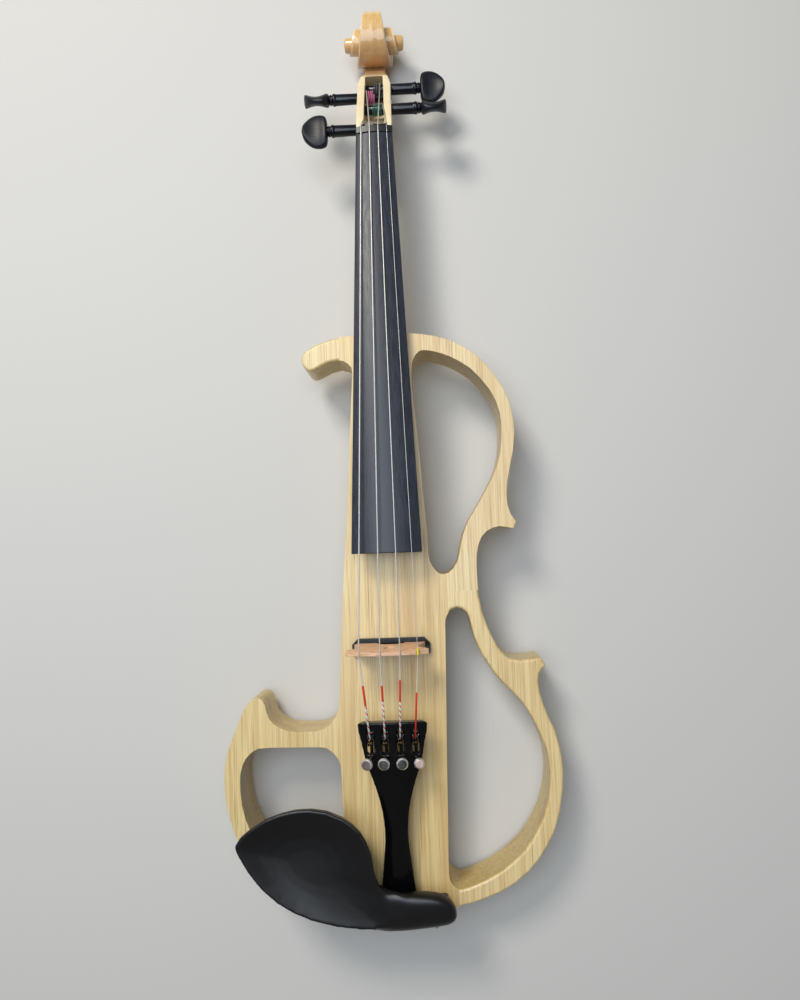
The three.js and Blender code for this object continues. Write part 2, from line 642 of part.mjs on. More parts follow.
function coverScrewPlaces() {
  return [[0, coverTop - screwInset], [0, coverEnd + screwInset]];
}

// Neck: shaft, heel and tenon, pegbox and scroll, carved from one piece

const heelFoot = 3; // height of the heel's foot over the back
const shaftLength = 103; // from the nut to where the heel starts to drop
const heelStart = nutFront - shaftLength;
const shaftShares = [
  // distance from the nut towards the heel as a share of what lies between them
  0, 0.25, 0.5, 0.75, 1,
];
const heelShares = [
  // along from the heel's start to the block, then the share of the drop to the heel's foot
  [0.3, 0.07], [0.55, 0.28], [0.75, 0.62], [0.88, 0.88], [1, 1],
];
const sectionSteps = 8;

function neckRing(y, under) {
  const half = boardHalf(y) - fit;
  const top = neckTop(y);
  const ring = [];
  for (let k = 0; k <= sectionSteps; k += 1) {
    const turn = (Math.PI * k) / sectionSteps;
    ring.push(point(half * Math.cos(turn), y, top - (top - under) * Math.sin(turn)));
  }
  return ring;
}

function neckShaft() {
  const rings = [];
  const under = (y) => {
    const share = (nutFront - y) / (nutFront - heelStart);
    return boardTop(y) - neckDepthAtNut - (neckDepthAtBody - neckDepthAtNut) * share;
  };
  const heelLength = heelStart - blockTop - fit;
  rings.push(neckRing(nutBack, under(nutFront)));
  for (const share of shaftShares) {
    const y = nutFront - share * (nutFront - heelStart);
    rings.push(neckRing(y, under(y)));
  }
  for (const [along, drop] of heelShares) {
    const y = heelStart - along * heelLength;
    rings.push(neckRing(y, under(heelStart) - drop * (under(heelStart) - heelFoot)));
  }
  return loft(rings);
}

function neckTenon() {
  const start = blockTop + fit + overrun;
  const side = [
    [tenonEnd, tenonFloor], [start, tenonFloor], [start, neckTop(start)], [tenonEnd, neckTop(tenonEnd)],
  ];
  return sidePlate(side, -tenonHalf, tenonHalf);
}

function pegboxShell() {
  const back = pegBackShares.map(([along, down]) => [alongPegbox(along), downPegbox(down)]);
  const throat = throatShares.map(([along, down]) => [alongPegbox(along), downPegbox(down)]);
  const front = cheekShares.map(([along, down]) => [alongPegbox(along), downPegbox(down)]).reverse();
  const nutSeat = [[nutBack, neckTop(nutBack)], [nutFront - overrun, neckTop(nutBack)]];
  const profile = [...back, ...throat, ...front, ...nutSeat];
  const y0 = nutFront - 2 * overrun;
  const treble = pegboxHalfShares.map(([along, half]) => [pegboxHalf * half, alongPegbox(along)]);
  const bass = treble.map(([x, y]) => [-x, y]).reverse();
  const plan = [[-pegboxHalf, y0], [pegboxHalf, y0], ...treble, ...bass];
  const z0 = downPegbox(3.5);
  return sidePlate(profile, -pegboxHalf, pegboxHalf).intersect(plate(plan, z0, cheekTop + overrun));
}

function pegboxMouth() {
  const floor = mouthFloorShares.map(([along, down]) => [alongPegbox(along), downPegbox(down)]);
  const start = floor[0][0];
  const end = floor.at(-1)[0];
  const profile = [...floor, [end, cheekTop + overrun], [start, cheekTop + overrun]];
  const plan = [
    [-mouthHalf, start - overrun], [mouthHalf, start - overrun], [mouthEndHalf, end + overrun],
    [-mouthEndHalf, end + overrun],
  ];
  const hollow = sidePlate(profile, -mouthHalf, mouthHalf);
  const z0 = downPegbox(3.5);
  return hollow.intersect(plate(plan, z0, cheekTop + 2 * overrun));
}

// The front of the mouth is wider at its top, where the strings come in from the nut.
function stringRelief() {
  const inside = 0.99 * mouthHalf;
  const plan = [
    [-reliefHalfBass, nutBack], [reliefHalfTreble, nutBack], [inside, nutBack + reliefTaperTreble],
    [-inside, nutBack + reliefTaperBass],
  ];
  return plate(plan, pegCentre("g").z, cheekTop + overrun);
}

// Scroll

const eyeAcross = 41.4; // eye to eye
const eyeAlongShare = 1.69;
const eyeDownShare = 1.75;
const scrollRadius = 20.5;
const scrollStart = 250; // degrees round the eye, 270 being the back
const scrollEnd = 1090;
const scrollStep = 24;
const scrollRadiusShares = [
  [250, 1.02], [270, 1], [360, 1], [400, 0.97], [450, 0.9], [540, 0.76], [630, 0.62], [720, 0.52],
  [810, 0.43], [900, 0.36], [990, 0.3], [1090, 0.25],
];
const scrollWidthShares = [
  [250, 0.33], [300, 0.28], [360, 0.265], [400, 0.275], [450, 0.37], [540, 0.575], [573, 0.6],
  [630, 0.61], [720, 0.62], [757, 0.63], [810, 0.7], [900, 0.81], [990, 0.88], [1090, 0.93],
];
const bandShare = 0.42; // inner radius of a turn as a share of its outer radius
const eyeRadius = 5;

function along(table, at) {
  const next = Math.max(table.findIndex(([stop]) => stop >= at), 1);
  const [a, from] = table[next - 1];
  const [b, to] = table[next];
  return from + ((to - from) * (at - a)) / (b - a);
}

function scroll() {
  const eye = point(0, alongPegbox(eyeAlongShare), downPegbox(eyeDownShare));
  const ring = (degrees) => {
    const turn = THREE.MathUtils.degToRad(degrees);
    const outer = scrollRadius * along(scrollRadiusShares, degrees);
    const half = (eyeAcross * along(scrollWidthShares, degrees)) / 2;
    const at = (x, radius) => point(x, eye.y + radius * Math.cos(turn), eye.z + radius * Math.sin(turn));
    const inner = outer * bandShare;
    return [at(-half, inner), at(half, inner), at(half, outer), at(-half, outer)];
  };
  const parts = [];
  const half = 7 * scrollStep;
  for (let from = scrollStart; from < scrollEnd; from += half) {
    const rings = [];
    for (let k = 0; k <= 7; k += 1) {
      rings.push(ring(Math.min(from + k * scrollStep, scrollEnd)));
    }
    parts.push(loft(rings));
  }
  const eyeHalf = eyeAcross / 2;
  parts.push(rod(point(-eyeHalf, eye.y, eye.z), point(eyeHalf, eye.y, eye.z), eyeRadius));
  return joined(parts);
}

function makeNeck() {
  const wood = joined([neckShaft(), neckTenon(), pegboxShell(), scroll()]);
  const bores = strings.map((string) => {
    const centre = pegCentre(string.name);
    const reach = 2 * pegboxHalf;
    return rod(
      centre.clone().setX(-reach), centre.clone().setX(reach), pegRadius + fit, 14,
    );
  });
  const nutSlot = box(
    -pegboxHalf - overrun, pegboxHalf + overrun, nutFront, nutBack + nutGap, neckTop(nutFront),
    cheekTop + overrun,
  );
  place(neckGroup, "neck", cut(wood, [pegboxMouth(), stringRelief(), nutSlot, ...bores]), maple);
}

function makeBoardAndNut() {
  const steps = 8;
  const ring = (y) => {
    const half = boardHalf(y);
    const points = [];
    for (let k = 0; k <= steps; k += 1) {
      const x = half - (2 * half * k) / steps;
      points.push(point(x, y, boardTop(y) - arch(x)));
    }
    return [...points, point(-half, y, boardUnder(y)), point(half, y, boardUnder(y))];
  };
  place(neckGroup, "fingerboard", loft([ring(boardEnd), ring(nutFront - fit)]), ebony);
  const half = nutWidth / 2;
  const base = neckTop(nutFront) + fit;
  const nutRing = (y) => {
    const points = [];
    for (let k = 0; k <= steps; k += 1) {
      const x = half - (2 * half * k) / steps;
      points.push(point(x, y, boardAtNut + stringOverBoard - stringSeat - arch(x)));
    }
    return [...points, point(-half, y, base), point(half, y, base)];
  };
  place(neckGroup, "nut", loft([nutRing(nutFront + fit), nutRing(nutBack)]), ebony);
}

// Pegs, each with the turns of its string

// The head is flat in the plane of the shaft, thick at its shoulder and waisted in its middle.
function pegHead(from, side) {
  const rings = pegHeadShares.map(([out, wide, thick]) => pegHeadSectionShares.map(([across, over]) => {
    const x = side * (from + out * pegHeadLength);
    return point(x, across * wide * pegHeadHalf, (over * thick * pegHeadThick) / 2);
  }));
  return loft(rings);
}

function makePeg(string, faceOn) {
  const side = string.side;
  const tip = pegboxHalf + pegTipOut;
  const shoulder = pegShoulder;
  const stem = shoulder + 3 * collarWidth;
  const profile = [
    [0, -tip], [pegTipRadius, -tip], [pegRadius, shoulder], [collarRadius, shoulder + 0.2 * collarWidth],
    [collarRadius, shoulder + 0.85 * collarWidth], [neckRingRadius, shoulder + 1.1 * collarWidth],
    [neckRingRadius, shoulder + 1.3 * collarWidth], [secondCollarRadius, shoulder + 1.4 * collarWidth],
    [secondCollarRadius, shoulder + 1.8 * collarWidth], [neckRingRadius, shoulder + 2 * collarWidth],
    [neckRingRadius, stem], [0, stem],
  ];
  const shaft = turned(profile, ORIGIN, AXIS_X.clone().multiplyScalar(side), 12);
  const head = pegHead(shoulder + 2.15 * collarWidth, side).rotate([faceOn ? 0 : edgeOn, 0, 0]);
  place(pegGroup, `peg_${string.name}`, shaft.add(head), ebony, pegCentre(string.name));
}

const windingRadius = (string) => pegRadius + stringSeat + string.radius;
const windingPitch = (string) => 2 * string.radius + loopGap;

function makeWinding(string) {
  const turns = windingTurns[string.name];
  const start = windingStartShare[string.name] * (mouthHalf - string.radius);
  const inward = -Math.sign(start);
  const radius = windingRadius(string);
  const steps = turns * loopSteps;
  const points = [];
  for (let k = 0; k <= steps; k += 1) {
    const turn = (2 * Math.PI * k) / loopSteps;
    const x = start + (inward * windingPitch(string) * k) / loopSteps;
    points.push(point(x, radius * Math.sin(turn), radius * Math.cos(turn)));
  }
  let least = Infinity;
  points.forEach((a, i) => {
    points.slice(i + loopSteps / 2).forEach((b) => {
      least = Math.min(least, a.distanceTo(b) - 2 * string.radius);
    });
  });
  console.log(`winding ${string.name}: ${turns} turns, least gap to itself ${least.toFixed(2)} mm`);
  const coil = tube(points, string.radius, windingSides);
  place(pegGroup, `winding_${string.name}`, coil, steel, pegCentre(string.name));
}

// Each string runs from its ball end over the bridge and the nut to the top of its peg.
function makeString(string) {
  const centre = pegCentre(string.name);
  const clear = windingRadius(string) + 2 * string.radius + fit;
  const start = windingStartShare[string.name] * (mouthHalf - string.radius);
  const nutEnd = point(nutX(string), nutBack, nutZ(string) - stringSeat);
  const dy = nutEnd.y - centre.y;
  const dz = nutEnd.z - centre.z;
  const away = Math.atan2(dz, dy) - Math.acos(clear / Math.hypot(dy, dz));
  const end = point(start, centre.y + clear * Math.cos(away), centre.z + clear * Math.sin(away));
  const points = [
    point(string.across * tailSpacing, forkY - forkThick / 2 + fit, ballHeight),
    point(string.over, 0, string.height),
    point(nutX(string), nutFront, nutZ(string)),
    nutEnd,
    end,
  ];
  place(stringGroup, `string_${string.name}`, tube(points, string.radius), steel);
}

function makeBallEnd(string) {
  const ball = rod(point(-ballLength / 2, 0, 0), point(ballLength / 2, 0, 0), ballRadius, 10);
  const at = point(string.across * tailSpacing, forkY - forkThick / 2 - fit - ballRadius, ballHeight);
  place(stringGroup, `ball_end_${string.name}`, ball, brass, at);
}

// Bridge, pickup bar, piezo strip and lead

function crownZ(x) {
  const stops = strings.map((s) => [s.over, s.height - s.radius - stringSeat]);
  const first = stops[0];
  const last = stops[3];
  if (x <= first[0]) {
    return first[1] - (first[0] - x) * 0.42;
  }
  if (x >= last[0]) {
    return last[1] - (x - last[0]) * 0.62;
  }
  const next = stops.findIndex(([stop]) => stop >= x);
  const [a, from] = stops[next - 1];
  const [b, to] = stops[next];
  return from + ((to - from) * (x - a)) / (b - a);
}

function makeBridge() {
  const base = thickness + barHeight + fit;
  const foot = footSpan / 2;
  const inner = foot - footLength;
  const high = strings[1].height - base;
  const crown = [];
  const stops = [-1, -0.7, -0.46, -0.23, 0, 0.23, 0.46, 0.7, 1];
  for (const share of stops) {
    const x = share * (share < 0 ? wingBass : wingTreble);
    crown.push([x, crownZ(x)]);
  }
  const sideShares = [[0.955, 0.62], [0.78, 0.52], [0.72, 0.4], [0.8, 0.22], [0.86, 0.1]];
  const right = sideShares.map(([a, b]) => [a * wingTreble, base + b * high]);
  const left = sideShares.map(([a, b]) => [-a * wingBass, base + b * high]).reverse();
  const arches = [
    [foot, base], [inner, base], [inner * 0.9, base + 0.09 * high], [inner * 0.4, base + 0.16 * high],
    [-inner * 0.4, base + 0.16 * high], [-inner * 0.9, base + 0.09 * high], [-inner, base], [-foot, base],
  ];
  const outline = [...crown, ...right, ...arches, ...left].reverse();
  const geometry = extruded(outline, 1);
  const place3 = geometry.attributes.position;
  for (let i = 0; i < place3.count; i += 1) {
    const z = place3.getY(i);
    const share = (z - base) / high;
    const depth = bridgeFootDepth + (bridgeCrownDepth - bridgeFootDepth) * share;
    const y = (place3.getZ(i) - 0.5) * depth;
    place3.setXYZ(i, place3.getX(i), -y, z);
  }
  const heart = turned(
    [[0, -overrun], [0.09 * footSpan, -overrun], [0.09 * footSpan, overrun], [0, overrun]],
    point(0, 0, base + 0.5 * high), AXIS_Y, 12,
  );
  const last = strings[3];
  const sleeveSeat = rod(
    point(last.over, -bridgeFootDepth, last.height + stringSeat),
    point(last.over, bridgeFootDepth, last.height + stringSeat),
    sleeveRadius + fit,
  );
  place(bridgeGroup, "bridge", cut(toSolid(geometry), [heart, sleeveSeat]), bridgeMaple);
}

function makePickup() {
  const half = barLength / 2;
  const deep = barDepth / 2;
  const outline = [
    [-half, -deep], [half, -deep], [half, deep - barChamfer], [half - barChamfer, deep],
    [-half + barChamfer, deep], [-half, deep - barChamfer],
  ];
  const bar = plate(outline, thickness, thickness + barHeight);
  const slot = box(
    -piezoLength / 2 - fit, piezoLength / 2 + fit, -piezoWidth / 2 - fit, piezoWidth / 2 + fit,
    thickness - overrun, thickness + piezoThick + fit,
  );
  place(bridgeGroup, "pickup_bar", bar.subtract(slot), blackPlastic);
  place(bridgeGroup, "piezo_strip", box(
    -piezoLength / 2, piezoLength / 2, -piezoWidth / 2, piezoWidth / 2, thickness, thickness + piezoThick,
  ), brass);
  const down = point(leadAcross, 0, thickness - fit);
  const turn = point(leadAcross, 0, leadHeight + 2 * leadRadius);
  const corner = point(leadAcross, -2 * leadRadius, leadHeight);
  const inside = point(leadAcross, circuitTop - leadHeight / 7, leadHeight);
  const up = point(leadAcross, circuitTop - leadHeight / 4, boardZ - fit);
  place(bridgeGroup, "pickup_lead", tube([down, turn, corner, inside, up], leadRadius), nylon);
  const string = strings[3];
  const x = string.over;
  const over = string.height + stringSeat;
  const ahead = (string.height - nutZ(string)) / stringLength;
  const behind = (string.height - ballHeight) / -forkY;
  const wall = tube([
    point(x, sleeveFront, over - ahead * sleeveFront), point(x, 0, over),
    point(x, -sleeveBehind, over - behind * sleeveBehind),
  ], sleeveRadius, 8);
  const front = sleeveFront + overrun;
  const back = sleeveBehind + overrun;
  const bore = tube([
    point(x, front, string.height - ahead * front), point(x, 0, string.height),
    point(x, -back, string.height - behind * back),
  ], string.radius + fit, 8);
  place(bridgeGroup, "e_string_sleeve", wall.subtract(bore), yellow);
}

// Tailpiece with its levers and screws

function makeTailpiece() {
  const steps = 6;
  const slope = (tailpieceHigh - tailpieceLow) / tailpieceLength;
  const rings = tailpieceShares.map(([alongShare, halfShare, dropShare]) => {
    const y = -tailpieceTop - alongShare * tailpieceLength;
    const half = halfShare * tailpieceHalf;
    const top = tailpieceHigh - slope * alongShare * tailpieceLength;
    const ring = [];
    for (let k = 0; k <= steps; k += 1) {
      const share = 1 - (2 * k) / steps;
      ring.push(point(half * share, y, top - dropShare * half * share ** 2));
    }
    const under = top - tailpieceThick;
    return [...ring, point(-0.9 * half, y, under), point(0.9 * half, y, under)];
  });
  const tools = [];
  for (const string of strings) {
    const x = string.across * tailSpacing;
    const half = slotWidth / 2;
    tools.push(box(x - half, x + half, -slotEnd, -slotTop, leverArmTop - overrun, tailpieceHigh + overrun));
    const [foot, head] = screwLine(string);
    const down = foot.clone().sub(head).normalize();
    tools.push(rod(
      foot.clone().addScaledVector(down, 2 * overrun), head.clone().addScaledVector(down, -overrun),
      screwShank + fit, 10,
    ));
  }
  const axleReach = 1.75 * tailSpacing + fit;
  tools.push(rod(
    point(-axleReach, forkY, leverPivotZ), point(axleReach, forkY, leverPivotZ), axleRadius + fit, 10,
  ));
  const holeY = -tailpieceTop - 0.95 * tailpieceLength;
  const holeZ = tailpieceLow + 0.05 * tailpieceLength * slope - tailpieceThick / 2;
  for (const side of [-1, 1]) {
    tools.push(rod(
      point(side * gutHalf, holeY, holeZ), point(side * gutHalf, holeY - 4 * overrun, holeZ),
      gutRadius + fit, 10,
    ));
  }
  place(tailGroup, "tailpiece", cut(loft(rings), tools), blackPlastic);
  const reach = axleReach - fit;
  const axle = rod(point(-reach, forkY, leverPivotZ), point(reach, forkY, leverPivotZ), axleRadius, 10);
  place(tailGroup, "tuner_axle", axle, steel);
  const over = thickness + saddleHeight + gutRadius + fit;
  const start = holeY - fit;
  const neckY = tail - buttonNeck / 2 - fit;
  const round = buttonRadius + gutRadius + 2 * fit;
  const edge = tail - 1.4 * gutRadius;
  const half = [
    point(gutHalf, start, holeZ), point(gutHalf, -tailpieceTop - tailpieceLength - fit, holeZ),
    point(gutHalf, tail + fit, over), point(gutHalf, edge, over - 0.7 * gutRadius),
    point(round, neckY, buttonZ + round),
  ];
  const mirrored = half.map((p) => p.clone().setX(-p.x)).reverse();
  const loop = [];
  for (let k = 0; k <= 6; k += 1) {
    const turn = (Math.PI * k) / 6;
    loop.push(point(round * Math.cos(turn), neckY, buttonZ - round * Math.sin(turn)));
  }
  place(tailGroup, "tailgut", tube([...half, ...loop, ...mirrored], gutRadius), nylon);
}

// The foot and the head of a tuner screw's axis. All lean outwards, the outer two the most.
function screwLine(string) {
  const x = string.across * tailSpacing;
  const outer = Math.abs(string.across) > 1;
  const lean = Math.sign(string.across) * Math.tan(outer ? screwTilt : innerTiltShare * screwTilt);
  const bottom = leverArmTop + fit;
  return [point(x, screwY, bottom), point(x + lean * (screwHeadTop - bottom), screwY, screwHeadTop)];
}

function makeTuner(string) {
  const [foot, head] = screwLine(string);
  const up = head.clone().sub(foot);
  const length = up.length();
  const bevel = 0.25 * screwHeadThick;
  const profile = [
    [0, 0], [screwShank, 0], [screwShank, length - screwHeadThick],
    [screwHeadRadius - bevel, length - screwHeadThick], [screwHeadRadius, length - screwHeadThick + bevel],
    [screwHeadRadius, length - bevel], [screwHeadRadius - bevel, length], [0, length],
  ];
  const screw = turned(profile, ORIGIN, up.normalize(), 12);
  place(tailGroup, `tuner_screw_${string.name}`, screw, nickel, foot);
  const half = forkThick / 2;
  const armTopAt = leverArmTop - leverPivotZ;
  const low = armTopAt - leverArmThick;
  const nick = ballHeight - string.radius - 2 * fit - leverPivotZ;
  const top = ballHeight + string.radius + forkLip - leverPivotZ;
  const side = [
    [-leverReach, low], [half, low], [half, top], [-half, top], [-half, armTopAt], [-leverReach, armTopAt],
  ];
  const arm = sidePlate(side, -leverWidth / 2, leverWidth / 2);
  const notchHalf = string.radius + fit;
  const notch = box(-notchHalf, notchHalf, -half - overrun, half + overrun, nick, top + overrun);
  const eye = rod(point(-leverWidth, 0, 0), point(leverWidth, 0, 0), axleRadius + running, 10);
  const pivot = point(string.across * tailSpacing, forkY, leverPivotZ);
  place(tailGroup, `tuner_lever_${string.name}`, cut(arm, [notch, eye]), blackPlastic, pivot);
}

// Saddle and end button

function makeTailFittings() {
  const z0 = thickness - saddleSeat;
  const z1 = thickness + saddleHeight;
  const inner = tail + saddleDepth - fit;
  const side = [
    [tail, z0 + fit], [inner, z0 + fit], [inner, z1], [tail + saddleRound, z1], [tail, z1 - saddleRound],
  ];
  place(tailGroup, "saddle", sidePlate(side, -saddleHalf, saddleHalf), ebony);
  const inside = buttonInside;
  const neckEnd = fit + buttonNeck;
  const headEnd = neckEnd + buttonHeadLength;
  const bevel = 0.25 * buttonHeadLength;
  const profile = [
    [0, -inside], [buttonRadius, -inside], [buttonRadius, neckEnd], [buttonHeadRadius * 0.8, neckEnd],
    [buttonHeadRadius, neckEnd + bevel], [buttonHeadRadius, headEnd - bevel],
    [buttonHeadRadius * 0.7, headEnd], [0, headEnd],
  ];
  const out = AXIS_Y.clone().negate();
  place(tailGroup, "end_button", turned(profile, point(0, tail, buttonZ), out), ebony);
}

// Chin rest: a dished cup over the bass side with an arm that bridges the tailpiece

function makeChinRest() {
  const [cx, cy] = chinCentreShares.map((share) => share * bout);
  const rings = chinLevelShares.map(([spread, height, counts]) => chinShares.map(([across, along, rim]) => {
    const level = height * (1 - counts + counts * rim);
    const x = cx + (across * bout - cx) * spread;
    const y = cy + (along * bout - cy) * spread;
    return point(x, y, chinLow + level * (chinHigh - chinLow));
  }));
  const cup = loft(rings);
  const high = armTop - armBottom;
  const armRings = armShares.map(([reach, front, rear, bottom, top]) => {
    const middle = armCentre + (armHalf * (front + rear)) / 2;
    const half = (armHalf * (front - rear)) / 2;
    const low = armBottom + bottom * high;
    return armSectionShares.map(([deep, up]) =>
      point(reach * armReach, middle + deep * half, low + up * (top - bottom) * high));
  });
  const feet = [
    box(-footOuterBass, -footInner, footBack, footFront, chinBottom, chinFootTop),
    box(footInner, footOuterTreble, footBack, footFront, chinBottom, chinFootTop),
  ];
  const bracketHole = bracket(legRadius + fit);
  place(chinGroup, "chin_rest", joined([cup, loft(armRings), ...feet]).subtract(bracketHole), blackPlastic);
  const corkTop = thickness + corkThick;
  const bassPad = box(-footOuterBass, -footInner, footBack, footFront, thickness, corkTop);
  const treblePad = box(footInner, footOuterTreble, footBack, footFront, thickness, corkTop);
  place(chinGroup, "cork_bass", bassPad, cork);
  place(chinGroup, "cork_treble", treblePad, cork);
}

// One bent rod: down outside the tail, through a foot, across under the arm and back.
function bracket(radius) {
  const half = [
    [legOutY, legTopEnd], [legOutY, legZ], [bracketY, legZ], [bracketY, bracketZ],
  ];
  const treble = half.map(([y, z]) => point(legAcross, y, z));
  const bass = half.map(([y, z]) => point(-legAcross, y, z)).reverse();
  return tube([...treble, ...bass], radius, 8);
}

function makeClamp() {
  const out = legOutY;
  place(chinGroup, "clamp_bracket", bracket(legRadius), nickel);
  for (const [name, side] of [["bass", -1], ["treble", 1]]) {
    const half = (barrelTop - barrelBottom) / 2;
    const barrel = rod(point(0, 0, -half), point(0, 0, half), barrelRadius);
    const bore = rod(point(0, 0, -half - overrun), point(0, 0, half + overrun), legRadius + running);
    const keyHole = rod(point(-2 * barrelRadius, 0, 0), point(2 * barrelRadius, 0, 0), barrelHoleRadius, 8);
    const at = point(side * legAcross, out, barrelBottom + half);
    place(chinGroup, `clamp_barrel_${name}`, cut(barrel, [bore, keyHole]), nickel, at);
  }
  const bottom = -corkThick - footPlateThick;
  const mid = -corkThick - footPlateThick / 2;
  const feet = [-1, 1].map((side) => {
    const x = side * legAcross;
    const inside = footPlateFront - overrun;
    return tube([point(x, out, legFootTop), point(x, out, mid), point(x, inside, mid)], legRadius, 8);
  });
  const bar = box(-footPlateHalf, footPlateHalf, footPlateBack, footPlateFront, bottom, -corkThick);
  place(chinGroup, "clamp_foot", joined([bar, ...feet]), nickel);
  place(chinGroup, "clamp_foot_cork", box(
    -footPlateHalf, footPlateHalf, footPlateBack, footPlateFront, -corkThick, 0,
  ), cork);
}

// Electronics

function makeElectronics() {
  const face = coverSink;
  let cover = box(-coverHalf + fit, coverHalf - fit, coverEnd + fit, coverTop - fit, face, coverThick);
  const knobs = [-knobAcross, knobAcross];
  const tools = knobs.map((x) =>
    rod(point(x, knobY, -overrun), point(x, knobY, coverThick + overrun), knobRadius + 2 * fit, 20));
  const doorEnd = batteryEnd - doorLip;
  tools.push(box(
    -doorHalf - fit, doorHalf + fit, doorEnd - fit, doorAxisY + doorRadius + fit, -overrun,
    coverThick + overrun,
  ));
  const pinReach = doorHalf + doorPinOut;
  tools.push(rod(
    point(-pinReach - fit, doorAxisY, doorAxisZ), point(pinReach + fit, doorAxisY, doorAxisZ),
    doorPin + running, 8,
  ));
  for (const [x, y] of coverScrewPlaces()) {
    tools.push(rod(point(x, y, -overrun), point(x, y, coverThick + overrun), woodScrewRadius + fit, 8));
    tools.push(rod(point(x, y, -overrun), point(x, y, face + woodScrewHead / 2), woodScrewHead + fit, 10));
  }
  cover = cut(cover, tools);
  place(backGroup, "back_cover", cover, blackPlastic);
  coverScrewPlaces().forEach(([x, y], i) => {
    const profile = [
      [0, 0], [woodScrewHead, 0], [woodScrewHead, woodScrewHead / 3], [woodScrewRadius, woodScrewHead / 2],
      [woodScrewRadius, woodScrewLength - woodScrewRadius], [0, woodScrewLength],
    ];
    place(backGroup, `cover_screw_${i + 1}`, turned(profile, ORIGIN, AXIS_Z, 10), nickel, point(x, y, face));
  });
  const door = box(-doorHalf, doorHalf, doorEnd, doorAxisY, doorAxisZ - doorRadius, doorAxisZ + doorRadius);
  const onAxis = (x) => point(x, doorAxisY, doorAxisZ);
  const barrel = rod(onAxis(-doorHalf), onAxis(doorHalf), doorRadius);
  const pins = rod(onAxis(-pinReach), onAxis(pinReach), doorPin, 8);
  place(backGroup, "battery_door", joined([door, barrel, pins]), blackPlastic);
  const low = cavityDepth - fit - batteryThick;
  const batteryTop = batteryEnd + batteryLength;
  const cell = box(-batteryHalf, batteryHalf, batteryEnd, batteryTop, low, low + batteryThick);
  place(backGroup, "battery", cell, batteryCase);
  const snap = box(
    -batteryHalf, batteryHalf, batteryTop + fit, batteryTop + fit + snapThick, low, low + batteryThick,
  );
  const wireX = -0.8 * batteryHalf;
  const wireZ = boardZ - leadRadius - fit;
  const wire = rod(
    point(wireX, batteryTop + snapThick, wireZ), point(wireX, circuitEnd + 2 * overrun, wireZ), leadRadius, 8,
  );
  place(backGroup, "battery_snap", snap.add(wire), nylon);
  const circuit = [box(-circuitHalf, circuitHalf, circuitEnd, circuitTop, boardZ, boardZ + circuitThick)];
  const knobTop = knobSink + knobThick;
  for (const x of knobs) {
    circuit.push(rod(point(x, knobY, knobTop + fit), point(x, knobY, boardZ), potRadius, 14));
    circuit.push(rod(point(x, knobY, knobTop - 0.6 * knobThick), point(x, knobY, boardZ), shaftRadius, 10));
  }
  place(backGroup, "preamp_board", joined(circuit), green);
  knobs.forEach((x, i) => {
    const knob = turned([
      [0, 0], [knobRadius * 0.9, 0], [knobRadius, knobRadius * 0.1], [knobRadius, knobThick], [0, knobThick],
    ], ORIGIN, AXIS_Z, 20);
    const bore = rod(
      point(0, 0, 0.3 * knobThick), point(0, 0, knobThick + overrun), shaftRadius + running, 10,
    );
    const pointer = box(-fit, fit, knobRadius * 0.35, knobRadius, -overrun, 2 * fit);
    const at = point(x, knobY, knobSink);
    place(backGroup, i === 0 ? "volume_knob" : "tone_knob", cut(knob, [bore, pointer]), blackPlastic, at);
  });
  const wall = jackFlangeThick;
  const profile = [
    [jackBore, 0], [jackFlange, 0], [jackFlange, wall], [jackRadius, wall], [jackRadius, jackLength],
    [0, jackLength], [0, jackLength - wall], [jackBore, jackLength - wall], [jackBore, 0],
  ];
  const jack = turned(profile, ORIGIN, AXIS_X.clone().negate(), 16);
  place(backGroup, "output_jack", jack, nickel, point(wallAtJack, jackY, jackZ));
}

makeBody();
makeNeck();
makeBoardAndNut();
for (const string of strings) {
  makePeg(string, string.name === "g" || string.name === "a");
  makeWinding(string);
  makeString(string);
  makeBallEnd(string);
  makeTuner(string);
}
makeBridge();
makePickup();
makeTailpiece();
makeTailFittings();
makeChinRest();
makeClamp();
makeElectronics();

export default violin;
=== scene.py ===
# %% [markdown]
# # An electric violin with a sawn frame
# A skeleton violin lies on its back on a pale floor, seen from above. Its hard pieces come from a CAD
# model that also drives the moving parts. This notebook gives every one of them its real finish, rounds
# what a maker would round, and models again what the plain solids only stand for: the volute, the pegs,
# the dished chin rest, the fine tuners' heads. All sizes are real ones in millimetres, turned into metres
# where they are used.

import json
import math

import bmesh
import bpy
from mathutils import Matrix, Vector


